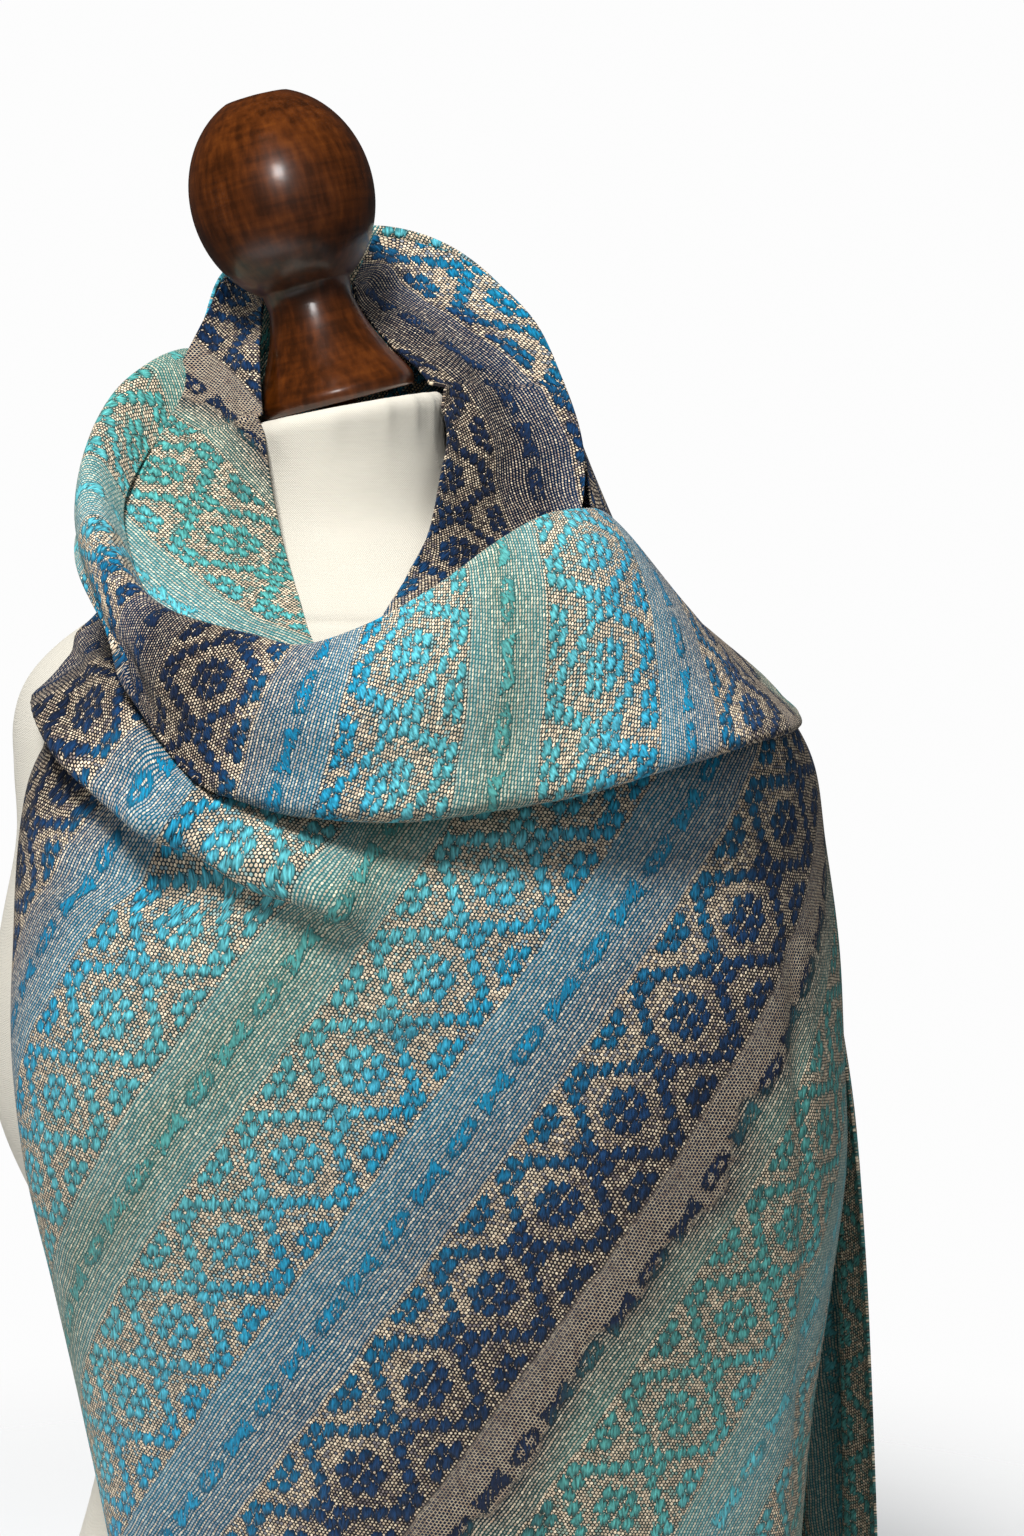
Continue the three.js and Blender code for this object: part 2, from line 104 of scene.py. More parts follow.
def through(values: np.ndarray, place: np.ndarray) -> np.ndarray:
    """Runs a smooth curve through evenly spaced rows.

    Args:
        values: One row of numbers for each station.
        place: Where to read the curve, 0 to 1, one number for each point.

    Returns:
        A row of numbers for each point.
    """
    last = len(values) - 1
    x = np.clip(place, 0, 1) * last
    i = np.minimum(np.floor(x).astype(int), last - 1)
    padded = np.vstack([2 * values[0] - values[1], values, 2 * values[-1] - values[-2]])
    before, start, end, after = (padded[i + k] for k in range(4))
    t = (x - i)[:, None]
    return hermite(start, end, (end - before) / 2, (after - start) / 2, t)


class Stations:
    """A table of named columns that is read smoothly between its rows."""

    def __init__(self, names: str, rows: list[list[float]]):
        """Keeps the rows, with one name for each column."""
        self.names = names.split()
        self.rows = np.array(rows, float)

    def at(self, place: np.ndarray) -> dict[str, np.ndarray]:
        """Gives every column at each place along the table."""
        return dict(zip(self.names, through(self.rows, place).T))


def turned(points: np.ndarray, angle: float = DRAPE_TURN) -> np.ndarray:
    """Turns points about the vertical, from the drape frame to the form's.

    Args:
        points: Places whose last axis is x, y and z.
        angle: How far they turn, in radians.

    Returns:
        The turned places.
    """
    c, s = math.cos(angle), math.sin(angle)
    x, y, z = points[..., 0], points[..., 1], points[..., 2]
    return np.stack([x * c - y * s, x * s + y * c, z], -1)


def grid_normals(grid: np.ndarray) -> np.ndarray:
    """Gives the unit normal at each place of a grid of points.

    Args:
        grid: Places by their two numbers in the grid.

    Returns:
        A unit vector for each place.
    """
    along_u = np.gradient(grid, axis=0)
    along_v = np.gradient(grid, axis=1)
    normal = np.cross(along_u, along_v)
    return normal / np.maximum(np.linalg.norm(normal, axis=-1, keepdims=True), 1e-9)


def unit_grid(u_count: int, v_count: int) -> tuple[np.ndarray, np.ndarray]:
    """Gives the two coordinates of a grid of places from 0 to 1, as flat lists."""
    u, v = np.meshgrid(np.linspace(0, 1, u_count + 1), np.linspace(0, 1, v_count + 1), indexing="ij")
    return u.ravel(), v.ravel()


def run_length(grid: np.ndarray, axis: int) -> np.ndarray:
    """Measures the cloth along one way of a grid, from the grid's first line.

    Args:
        grid: Places by their two numbers in the grid.
        axis: The way that is measured, 0 or 1.

    Returns:
        The length so far, in millimetres, at each place.
    """
    steps = np.linalg.norm(np.diff(grid, axis=axis), axis=-1)
    total = np.cumsum(steps, axis=axis)
    first = np.zeros_like(np.take(total, [0], axis=axis))
    return np.concatenate([first, total], axis=axis)


# ---------------------------------------------------------------- materials
class NodeSheet:
    """Writes a material's nodes as short arithmetic."""

    def __init__(self, name: str):
        """Makes an empty node material with a surface shader.

        Args:
            name: The material's name.
        """
        self.material = bpy.data.materials.new(name)
        self.material.use_nodes = True
        self.tree = self.material.node_tree
        self.tree.nodes.clear()
        self.surface = self.add("ShaderNodeBsdfPrincipled")
        output = self.add("ShaderNodeOutputMaterial")
        self.tree.links.new(self.surface.outputs["BSDF"], output.inputs["Surface"])

    def add(self, kind: str, **settings: str | bool) -> bpy.types.Node:
        """Adds a node and sets its own properties.

        Args:
            kind: The node's type.
            settings: Its properties by name.

        Returns:
            The node.
        """
        node = self.tree.nodes.new(kind)
        for key, value in settings.items():
            setattr(node, key, value)
        return node

    def feed(self, socket: Socket, value: Value | tuple[float, ...]) -> None:
        """Links a socket to another, or sets its constant.

        Args:
            socket: The input that is set.
            value: Another node's output, or a constant.
        """
        if isinstance(value, Socket):
            self.tree.links.new(value, socket)
        else:
            socket.default_value = value

    def math(
        self, operation: str, a: Value, b: Value | None = None, c: Value | None = None, clamp: bool = False
    ) -> Socket:
        """Adds one step of arithmetic and gives its result.

        Args:
            operation: What the node does.
            a: First input.
            b: Second input, if it has one.
            c: Third input, if it has one.
            clamp: Whether the result is kept from 0 to 1.

        Returns:
            The result.
        """
        node = self.add("ShaderNodeMath", operation=operation, use_clamp=clamp)
        for socket, value in zip(node.inputs, (a, b, c)):
            if value is not None:
                self.feed(socket, value)
        return node.outputs[0]

    def step(self, value: Socket, low: float, high: float) -> Socket:
        """Gives a soft step from 0 at low to 1 at high. High may be the lesser.

        Args:
            value: What is read.
            low: Where the result is 0.
            high: Where it is 1.

        Returns:
            The step's result.
        """
        node = self.add("ShaderNodeMapRange", interpolation_type="SMOOTHSTEP", clamp=True)
        self.feed(node.inputs["Value"], value)
        rising = low < high
        node.inputs["From Min"].default_value = low if rising else high
        node.inputs["From Max"].default_value = high if rising else low
        node.inputs["To Min"].default_value = 0.0 if rising else 1.0
        node.inputs["To Max"].default_value = 1.0 if rising else 0.0
        return node.outputs["Result"]

    def mix(self, factor: Value, a: Shade, b: Shade) -> Socket:
        """Mixes two colours.

        Args:
            factor: Share of the second colour.
            a: First colour.
            b: Second colour.

        Returns:
            The mixed colour.
        """
        node = self.add("ShaderNodeMix", data_type="RGBA")
        self.feed(node.inputs["Factor"], factor)
        self.feed(node.inputs[6], a)
        self.feed(node.inputs[7], b)
        return node.outputs[2]

    def blend(self, factor: Value, a: Value, b: Value) -> Socket:
        """Mixes two numbers.

        Args:
            factor: Share of the second number.
            a: First number.
            b: Second number.

        Returns:
            The mixed number.
        """
        node = self.add("ShaderNodeMix", data_type="FLOAT")
        self.feed(node.inputs[0], factor)
        self.feed(node.inputs[2], a)
        self.feed(node.inputs[3], b)
        return node.outputs[0]

    def scaled(self, colour: Socket, factor: Value) -> Socket:
        """Multiplies a colour by a number.

        Args:
            colour: The colour.
            factor: What it is multiplied by.

        Returns:
            The new colour.
        """
        node = self.add("ShaderNodeVectorMath", operation="SCALE")
        self.feed(node.inputs[0], colour)
        self.feed(node.inputs["Scale"], factor)
        return node.outputs[0]

    def noise(self, vector: Socket, scale: float, detail: float = 2.0) -> Socket:
        """Adds a soft noise read at a vector.

        Args:
            vector: Where it is read.
            scale: How fine it is.
            detail: How rich it is.

        Returns:
            A number from 0 to 1.
        """
        node = self.add("ShaderNodeTexNoise")
        self.feed(node.inputs["Vector"], vector)
        node.inputs["Scale"].default_value = scale
        node.inputs["Detail"].default_value = detail
        return node.outputs["Fac"]

    def stretched(self, vector: Socket, scale: Place) -> Socket:
        """Scales a vector along its three axes.

        Args:
            vector: The vector.
            scale: What each axis is multiplied by.

        Returns:
            The scaled vector.
        """
        node = self.add("ShaderNodeMapping")
        self.feed(node.inputs["Vector"], vector)
        node.inputs["Scale"].default_value = scale
        return node.outputs[0]

    def chance(self, x: Value, y: Value) -> Socket:
        """Gives one random number for each pair of whole numbers.

        Args:
            x: First whole number.
            y: Second whole number.

        Returns:
            A number from 0 to 1.
        """
        joined = self.joined(x, y)
        node = self.add("ShaderNodeTexWhiteNoise", noise_dimensions="2D")
        self.feed(node.inputs["Vector"], joined)
        return node.outputs["Value"]

    def joined(self, x: Value, y: Value, z: Value = 0.0) -> Socket:
        """Joins numbers into a vector.

        Args:
            x: First number.
            y: Second number.
            z: Third number.

        Returns:
            The vector.
        """
        node = self.add("ShaderNodeCombineXYZ")
        for socket, value in zip(node.inputs, (x, y, z)):
            self.feed(socket, value)
        return node.outputs[0]

    def ramp(self, value: Value, stops: list[tuple[float, Colour]]) -> Socket:
        """Reads a colour from a row of stops.

        Args:
            value: Where it is read, 0 to 1.
            stops: Each stop's place and colour.

        Returns:
            The colour there.
        """
        node = self.add("ShaderNodeValToRGB")
        elements = node.color_ramp.elements
        while len(elements) < len(stops):
            elements.new(1.0)
        for element, (place, colour) in zip(elements, stops):
            element.position = place
            element.color = (*colour, 1.0)
        self.feed(node.inputs["Fac"], value)
        return node.outputs["Color"]

    def raised(self, height: Socket, distance: float, strength: float) -> None:
        """Raises the surface by a height.

        Args:
            height: The height, 0 to about 1.
            distance: What a height of 1 is, in metres.
            strength: Share of the height that shows.
        """
        node = self.add("ShaderNodeBump")
        node.inputs["Distance"].default_value = distance
        node.inputs["Strength"].default_value = strength
        self.feed(node.inputs["Height"], height)
        self.tree.links.new(node.outputs["Normal"], self.surface.inputs["Normal"])


def srgb(red: int, green: int, blue: int) -> Colour:
    """Turns a screen colour, 0 to 255, to linear light.

    Args:
        red: Red, 0 to 255.
        green: Green.
        blue: Blue.

    Returns:
        The three shares, 0 to 1.
    """
    return tuple(
        c / 12.92 if c <= LINEAR_LIGHT_BEND else ((c + 0.055) / 1.055) ** 2.4
        for c in (red / 255, green / 255, blue / 255)
    )


class Yarn(Enum):
    """Dyed yarns of the shawl, in linear light, and SHADOW, which is no yarn but painted shade for the gaps
    between the threads.
    """

    BEIGE = srgb(238, 220, 190)
    TAUPE = srgb(186, 160, 134)
    SHADOW = srgb(38, 32, 30)
    MIDNIGHT = srgb(17, 30, 54)
    NAVY = srgb(18, 56, 96)
    BLUE = srgb(16, 120, 158)
    AZURE = srgb(36, 150, 186)
    TURQUOISE = srgb(92, 182, 194)
    SEA_GREEN = srgb(76, 146, 140)
    TEAL = srgb(84, 166, 160)


@dataclass(frozen=True)
class WovenPattern:
    """The shawl's handwoven finish: lozenges of pillow-like blocks between plain stripes.

    Sizes are in millimetres of cloth. The cloth's map gives the place across the stripes and
    along them.
    """

    name: str = "shawl_cloth"
    stripe_repeat: float = 108.0
    block_step: float = 3.66
    block_steps: int = 14
    row_pitch: float = 5.1
    first_row: float = 3.15
    block_rows: int = 6
    lozenge_half: float = 32.8
    thread: float = 1.6
    float_way: tuple[float, float] = (-0.585, 0.811)
    wander: float = 3.4
    block_half: tuple[float, float] = (0.98, 0.56)
    block_square: float = 2.7
    oval_half: tuple[float, float] = (11.2, 4.4)
    eye_off: float = 4.2
    eye_half: tuple[float, float] = (2.3, 1.6)
    wing_slope: float = 0.3
    wing_edge: tuple[float, float] = (2.4, 0.9)
    wing_end: tuple[float, float] = (10.6, 9.2)
    dot_square: float = 2.2
    first_stripe: float = -4.0
    stripes: float = 7.0
    well_before: float = 40.0
    relief: float = 0.0011

    def dyes(self) -> list[tuple[float, Colour]]:
        """Gives the dyed stripes from one selvedge to the other, as shares of the whole width.

        Returns:
            Each dye's place, 0 to 1, and its colour.
        """
        order = [
            (-4.0, Yarn.TEAL), (-3.4, Yarn.TURQUOISE), (-3.0, Yarn.BLUE), (-2.7, Yarn.NAVY),
            (-2.45, Yarn.MIDNIGHT), (-2.05, Yarn.MIDNIGHT), (-1.8, Yarn.NAVY), (-1.5, Yarn.BLUE),
            (-1.25, Yarn.AZURE), (-0.95, Yarn.TURQUOISE), (-0.5, Yarn.SEA_GREEN), (-0.1, Yarn.TURQUOISE),
            (0.25, Yarn.AZURE), (0.55, Yarn.BLUE), (1.0, Yarn.NAVY), (1.5, Yarn.MIDNIGHT),
            (1.75, Yarn.SEA_GREEN), (2.1, Yarn.TEAL), (2.6, Yarn.TURQUOISE), (3.0, Yarn.SEA_GREEN),
        ]
        return [((place - self.first_stripe) / self.stripes, yarn.value) for place, yarn in order]

    def make(self) -> bpy.types.Material:
        """Builds the material.

        Returns:
            The woven material, read from the map named "cloth".
        """
        n = NodeSheet(self.name)
        place = n.add("ShaderNodeUVMap", uv_map="cloth").outputs[0]
        across, along = self.wandering(n, place)
        stripe = n.math("MULTIPLY", across, 1 / self.stripe_repeat)
        from_row = self.row_distance(n, across)
        drift = n.math("MULTIPLY_ADD", n.noise(place, 0.02, 3.0), 0.5, -0.25)
        width_share = n.math(
            "MULTIPLY_ADD", n.math("ADD", stripe, drift), 1 / self.stripes, -self.first_stripe / self.stripes
        )
        dyed = n.ramp(width_share, self.dyes())
        streak, fray = self.floats(n, across, along)
        frayed_across = n.math("MULTIPLY_ADD", fray, self.float_way[0], across)
        frayed_along = n.math("MULTIPLY_ADD", fray, self.float_way[1], along)
        frayed_row = self.row_distance(n, frayed_across)
        block, pillow = self.blocks(n, frayed_row, frayed_along)
        motif, motif_pillow = self.motifs(n, frayed_row, frayed_along)
        dots, depth = self.ground(n, across, along, from_row, dyed)
        motif = n.math("MULTIPLY", motif, n.step(streak, 0.12, 0.3))
        figure = n.math("MAXIMUM", block, motif)
        full = n.math("MAXIMUM", pillow, motif_pillow)
        # Painted shade and highlight: each block's colour darkens towards its edges, where its pillow is low,
        # and brightens along the standing threads.
        painted_thread_highlight = n.math("MULTIPLY_ADD", streak, 1.05, 0.4)
        shade = n.math("MULTIPLY", painted_thread_highlight, n.math("MULTIPLY_ADD", full, 0.8, 0.26))
        colour = n.mix(figure, dots, n.scaled(dyed, shade))
        height = n.blend(figure, depth, n.math("ADD", full, 0.25))
        height = n.math("MULTIPLY_ADD", streak, 0.3, height)
        n.feed(n.surface.inputs["Base Color"], colour)
        n.feed(n.surface.inputs["Roughness"], n.blend(figure, 0.9, 0.6))
        n.surface.inputs["Specular IOR Level"].default_value = 0.3
        n.surface.inputs["Sheen Weight"].default_value = 0.05
        n.surface.inputs["Sheen Roughness"].default_value = 0.5
        n.raised(height, self.relief, 0.9)
        return n.material

    def wandering(self, n: NodeSheet, place: Socket) -> tuple[Socket, Socket]:
        """Lets the threads stray a little from their straight lines.

        Args:
            n: The node sheet that the nodes are added to.
            place: The cloth's map.

        Returns:
            The places across and along.
        """
        soft = n.add("ShaderNodeTexNoise")
        n.feed(soft.inputs["Vector"], place)
        soft.inputs["Scale"].default_value = 0.045
        soft.inputs["Detail"].default_value = 2.0
        shift = n.add("ShaderNodeVectorMath", operation="MULTIPLY_ADD")
        n.feed(shift.inputs[0], soft.outputs["Color"])
        shift.inputs[1].default_value = (self.wander, self.wander, 0.0)
        n.feed(shift.inputs[2], place)
        split = n.add("ShaderNodeSeparateXYZ")
        n.feed(split.inputs[0], shift.outputs[0])
        back = -self.wander / 2
        return n.math("ADD", split.outputs[0], back), n.math("ADD", split.outputs[1], back)

    def row_distance(self, n: NodeSheet, across: Socket) -> Socket:
        """Gives the distance from the nearest row of flowers.

        Args:
            n: The node sheet that the nodes are added to.
            across: Place across the stripes.

        Returns:
            The distance in millimetres.
        """
        stripe = n.math("MULTIPLY", across, 1 / self.stripe_repeat)
        fold = n.math("ABSOLUTE", n.math("SUBTRACT", stripe, n.math("ROUND", stripe)))
        return n.math("MULTIPLY", fold, self.stripe_repeat)

    def floats(self, n: NodeSheet, across: Socket, along: Socket) -> tuple[Socket, Socket]:
        """Gives the fine threads that float over the raised blocks, and how far each one's end strays.

        Args:
            n: The node sheet that the nodes are added to.
            across: Place across the stripes.
            along: Place along them.

        Returns:
            How far a thread stands out, 0 to 1, which the material also paints as highlight, and its end's
            stray in millimetres.
        """
        way_across, way_along = self.float_way
        over = n.math("MULTIPLY_ADD", across, way_along, n.math("MULTIPLY", along, -way_across))
        down = n.math("MULTIPLY_ADD", across, way_across, n.math("MULTIPLY", along, way_along))
        fine = n.noise(n.joined(n.math("MULTIPLY", over, 0.95), n.math("MULTIPLY", down, 0.2)), 1.0, 2.0)
        streak = n.math("MULTIPLY_ADD", fine, 3.0, -1.0, clamp=True)
        ends = n.noise(n.joined(n.math("MULTIPLY", over, 0.9), n.math("MULTIPLY", down, 0.1)), 1.0, 1.0)
        return streak, n.math("MULTIPLY_ADD", ends, 7.0, -3.5)

    def half_repeats(self, n: NodeSheet, along: Socket) -> Socket:
        """Gives the distance along from the nearest flower's middle."""
        repeat = self.block_step * self.block_steps
        return n.math("PINGPONG", n.math("ADD", along, repeat * self.well_before), repeat / 2)

    def blocks(self, n: NodeSheet, from_row: Socket, along: Socket) -> tuple[Socket, Socket]:
        """Lays the chart of blocks that makes the flowers, knots and lozenge chains.

        The chart is a board of two-step cells, staggered row by row. Rows 2 and 3 hold the one
        cell that joins a knot to a lozenge's tip, and every other row holds all but that cell.

        Args:
            n: The node sheet that the nodes are added to.
            from_row: Distance from the flowers' row.
            along: Place along it.

        Returns:
            Where a block shows, 0 or 1, and how high it stands.
        """
        step = n.math("MULTIPLY", self.half_repeats(n, along), 1 / self.block_step)
        row = n.math("MULTIPLY_ADD", from_row, 1 / self.row_pitch, -self.first_row / self.row_pitch)
        index = n.math("MINIMUM", n.math("MAXIMUM", n.math("ROUND", row), 0.0), self.block_rows - 1.0)
        odd = n.math("MODULO", index, 2.0)
        half = n.math("MULTIPLY", n.math("SUBTRACT", step, odd), 0.5)
        cell = n.math("MULTIPLY_ADD", n.math("ROUND", half), 2.0, odd)
        x = n.math("SUBTRACT", step, cell)
        y = n.math("SUBTRACT", row, index)
        joining = n.math("COMPARE", cell, n.math("SUBTRACT", 4.0, odd), 0.25)
        middle = n.math("COMPARE", index, 2.5, 0.75)
        shown = n.math("ABSOLUTE", n.math("SUBTRACT", n.math("SUBTRACT", 1.0, middle), joining))
        body = self.pillow(n, x, y, *self.block_half)
        outside = n.step(from_row, self.lozenge_half, self.lozenge_half - 0.8)
        pillow = n.math("MULTIPLY", n.math("MULTIPLY", body, shown), outside)
        return n.step(pillow, 0.0, 0.14), pillow

    def motifs(self, n: NodeSheet, from_row: Socket, along: Socket) -> tuple[Socket, Socket]:
        """Lays the line of eyed ovals and butterflies along the middle of each plain stripe.

        Args:
            n: The node sheet that the nodes are added to.
            from_row: Distance from the flowers' row.
            along: Place along it.

        Returns:
            Where a motif shows, 0 or 1, and how high it stands.
        """
        turn = self.half_repeats(n, along)
        off = n.math("SUBTRACT", self.stripe_repeat / 2, from_row)
        oval = self.pillow(n, turn, off, *self.oval_half)
        eye = self.pillow(n, n.math("SUBTRACT", turn, self.eye_off), off, *self.eye_half)
        oval = n.math("MULTIPLY", oval, n.step(eye, 0.3, 0.0))
        beyond = n.math("SUBTRACT", self.block_step * self.block_steps / 2, turn)
        wing = n.math("MULTIPLY_ADD", beyond, -self.wing_slope, off)
        butterfly = n.math("MULTIPLY", n.step(wing, *self.wing_edge), n.step(beyond, *self.wing_end))
        pillow = n.math("MAXIMUM", oval, n.math("MULTIPLY", butterfly, 0.8))
        return n.step(pillow, 0.05, 0.3), pillow

    def pillow(self, n: NodeSheet, x: Socket, y: Socket, half_x: float, half_y: float) -> Socket:
        """Gives a raised block with round corners: 0 at its edge and outside, 1 in its middle.

        Args:
            n: The node sheet that the nodes are added to.
            x: Place along it from its middle.
            y: Place across it.
            half_x: Half its length.
            half_y: Half its width.

        Returns:
            The height, 0 to 1.
        """
        px, py = (
            n.math("POWER", n.math("ABSOLUTE", n.math("MULTIPLY", way, 1 / half)), self.block_square)
            for way, half in ((x, half_x), (y, half_y))
        )
        return n.math("SUBTRACT", 1.0, n.math("ADD", px, py), clamp=True)

    def ground(
        self, n: NodeSheet, across: Socket, along: Socket, from_row: Socket, dyed: Socket
    ) -> tuple[Socket, Socket]:
        """Weaves the plain ground: staggered pale dots over gaps painted dark brown as shade, or over dye
        that is darkened as painted shade in the stripes.

        Where the dye is darkest, a stripe is a pale net over dark cells.

        Args:
            n: The node sheet that the nodes are added to.
            across: Place across the stripes.
            along: Place along them.
            from_row: Distance from the flowers' row.
            dyed: The stripe's dye.

        Returns:
            The ground's colour and its height.
        """
        across_count = n.math("MULTIPLY", across, 1 / self.thread)
        line = n.math("FLOOR", across_count)
        odd = n.math("MODULO", n.math("ADD", line, 1000.0), 2.0)
        along_count = n.math("MULTIPLY_ADD", odd, 0.5, n.math("MULTIPLY", along, 1 / self.thread))
        pick = n.math("FLOOR", along_count)
        luck = n.chance(line, pick)
        from_x = n.math("ABSOLUTE", n.math("SUBTRACT", n.math("FRACT", across_count), 0.5))
        from_y = n.math("ABSOLUTE", n.math("SUBTRACT", n.math("FRACT", along_count), 0.5))
        in_stripe = n.step(from_row, self.lozenge_half - 0.4, self.lozenge_half + 1.2)
        grey = n.add("ShaderNodeRGBToBW")
        n.feed(grey.inputs[0], dyed)
        dark = n.step(grey.outputs[0], 0.07, 0.012)
        dimmed = n.math("MULTIPLY_ADD", dark, -0.14, 1.0)
        spare = n.math("MULTIPLY", dark, 0.09)
        thinner = n.math("MULTIPLY", in_stripe, 0.1)
        reach_x = n.math("SUBTRACT", n.math("MULTIPLY_ADD", luck, 0.12, 0.38), thinner)
        reach_y = n.math("ADD", n.math("MULTIPLY_ADD", luck, 0.14, 0.36), n.math("MULTIPLY", in_stripe, 0.06))
        reach_x, reach_y = n.math("SUBTRACT", reach_x, spare), n.math("SUBTRACT", reach_y, spare)
        x = n.math("POWER", n.math("DIVIDE", from_x, reach_x), self.dot_square)
        y = n.math("POWER", n.math("DIVIDE", from_y, reach_y), self.dot_square)
        dot = n.step(n.math("ADD", x, y), 1.05, 0.5)
        tone = n.chance(pick, line)
        pale = n.mix(tone, Yarn.BEIGE.value + (1.0,), Yarn.TAUPE.value + (1.0,))
        pale = n.scaled(pale, n.math("MULTIPLY", dimmed, n.math("MULTIPLY_ADD", luck, 0.4, 0.76)))
        stray = n.math("MULTIPLY", n.step(tone, 0.76, 0.8), 0.55)
        share = n.blend(in_stripe, stray, n.math("MULTIPLY_ADD", odd, 0.3, 0.2))
        lined = n.mix(share, pale, n.scaled(dyed, 1.1))
        # Painted shade: between the pale dots lies mostly the near-black SHADOW colour with a little dark
        # dye, and in the stripes the dye darkened to 0.42.
        under = n.mix(0.7, n.scaled(dyed, 0.3), Yarn.SHADOW.value + (1.0,))
        woven = n.mix(dot, n.mix(in_stripe, under, n.scaled(dyed, 0.42)), lined)
        netted = n.math("MULTIPLY", in_stripe, n.step(grey.outputs[0], 0.035, 0.018))
        netted = n.math("MULTIPLY", netted, n.step(across, 0.0, 60.0))
        mesh = n.math("MAXIMUM", n.step(from_x, 0.3, 0.42), n.step(from_y, 0.3, 0.42))
        net = n.mix(mesh, n.scaled(dyed, 0.6), n.scaled(pale, 0.8))
        colour = n.mix(netted, woven, net)
        height = n.blend(netted, dot, mesh)
        return colour, n.math("MULTIPLY", height, 0.38)


@dataclass(frozen=True)
class LinenCover:
    """Cream plain-woven linen over padding."""

    name: str = "linen"
    threads_per_metre: float = 900.0
    warp_share: float = 0.8
    relief: float = 0.0002

    def make(self) -> bpy.types.Material:
        """Builds the material.

        Returns:
            The linen material, read from the object's own place in metres.
        """
        n = NodeSheet(self.name)
        place = n.add("ShaderNodeTexCoord").outputs["Object"]
        split = n.add("ShaderNodeSeparateXYZ")
        n.feed(split.inputs[0], place)
        x, y, z = split.outputs
        round_place = n.math("ADD", x, y)
        weft = n.math("SINE", n.math("MULTIPLY", z, self.threads_per_metre * math.tau))
        warp_count = self.threads_per_metre * math.tau * self.warp_share
        warp = n.math("SINE", n.math("MULTIPLY", round_place, warp_count))
        thread = n.math("MULTIPLY", z, self.threads_per_metre)
        slub = n.noise(n.joined(n.math("MULTIPLY", round_place, 60.0), 0.0, thread), 1.0)
        shade = n.noise(place, 22.0, 3.0)
        colour = n.mix(shade, (0.52, 0.49, 0.42, 1.0), (0.6, 0.57, 0.5, 1.0))
        colour = n.mix(n.math("MULTIPLY", slub, 0.35), colour, (0.6, 0.54, 0.43, 1.0))
        n.feed(n.surface.inputs["Base Color"], colour)
        n.surface.inputs["Roughness"].default_value = 0.9
        n.surface.inputs["Sheen Weight"].default_value = 0.1
        height = n.math("ADD", n.math("MULTIPLY", weft, warp), n.math("MULTIPLY", slub, 2.0))
        n.raised(n.math("ADD", height, n.math("MULTIPLY", shade, 3.0)), self.relief, 0.5)
        return n.material


@dataclass(frozen=True)
class VarnishedWood:
    """Dark turned wood with fine grain round the axis and a gloss varnish."""

    name: str = "varnished_wood"
    foot: Place = (0.0, 0.0, 0.7508)
    lean: Place = (0.05, -0.25, 0.52)
    lathe_line_scale: Place = (34.0, 34.0, 300.0)
    grain_scale: Place = (260.0, 260.0, 42.0)
    relief: float = 0.00025

    def make(self) -> bpy.types.Material:
        """Builds the material.

        Returns:
            The wood material, read from the object's own place in metres.
        """
        n = NodeSheet(self.name)
        place = n.add("ShaderNodeTexCoord").outputs["Object"]
        turn = n.add("ShaderNodeMapping", vector_type="TEXTURE")
        n.feed(turn.inputs["Vector"], place)
        turn.inputs["Location"].default_value = self.foot
        turn.inputs["Rotation"].default_value = self.lean
        lathe_lines = n.noise(n.stretched(turn.outputs[0], self.lathe_line_scale), 1.0, 4.0)
        grain = n.noise(n.stretched(turn.outputs[0], self.grain_scale), 1.0, 5.0)
        cloud = n.noise(turn.outputs[0], 26.0, 2.0)
        tone = n.math("ADD", n.math("MULTIPLY", grain, 0.45), n.math("MULTIPLY", cloud, 0.35))
        tone = n.math("MULTIPLY_ADD", lathe_lines, 0.3, tone)
        colour = n.ramp(tone, [
            (0.3, srgb(28, 11, 1)),
            (0.48, srgb(50, 21, 2)),
            (0.6, srgb(74, 34, 5)),
            (0.78, srgb(102, 52, 12)),
        ])
        n.feed(n.surface.inputs["Base Color"], colour)
        n.surface.inputs["Roughness"].default_value = 0.42
        n.surface.inputs["Specular IOR Level"].default_value = 0.4
        n.surface.inputs["Coat Weight"].default_value = 0.9
        n.surface.inputs["Coat Roughness"].default_value = 0.22
        n.raised(n.math("ADD", lathe_lines, grain), self.relief, 0.3)
        return n.material


# ---------------------------------------------------------------- meshes
def drop_selection() -> None:
    """Deselects everything, so that an operator acts only on what is picked next."""
    bpy.ops.object.select_all(action="DESELECT")


def mesh_object(
    name: str, points: np.ndarray, faces: list[tuple[int, ...]], material: bpy.types.Material
) -> bpy.types.Object:
    """Makes an object at the origin from points in metres.

    Args:
        name: The piece's name.
        points: Its points.
        faces: Each face's points, in order.
        material: Its finish.

    Returns:
        The smooth-shaded piece.
    """
    mesh = bpy.data.meshes.new(name)
    mesh.from_pydata(points.tolist(), [], faces)
    mesh.materials.append(material)
    piece = bpy.data.objects.new(name, mesh)
    bpy.context.scene.collection.objects.link(piece)
    mesh.shade_smooth()
    return piece


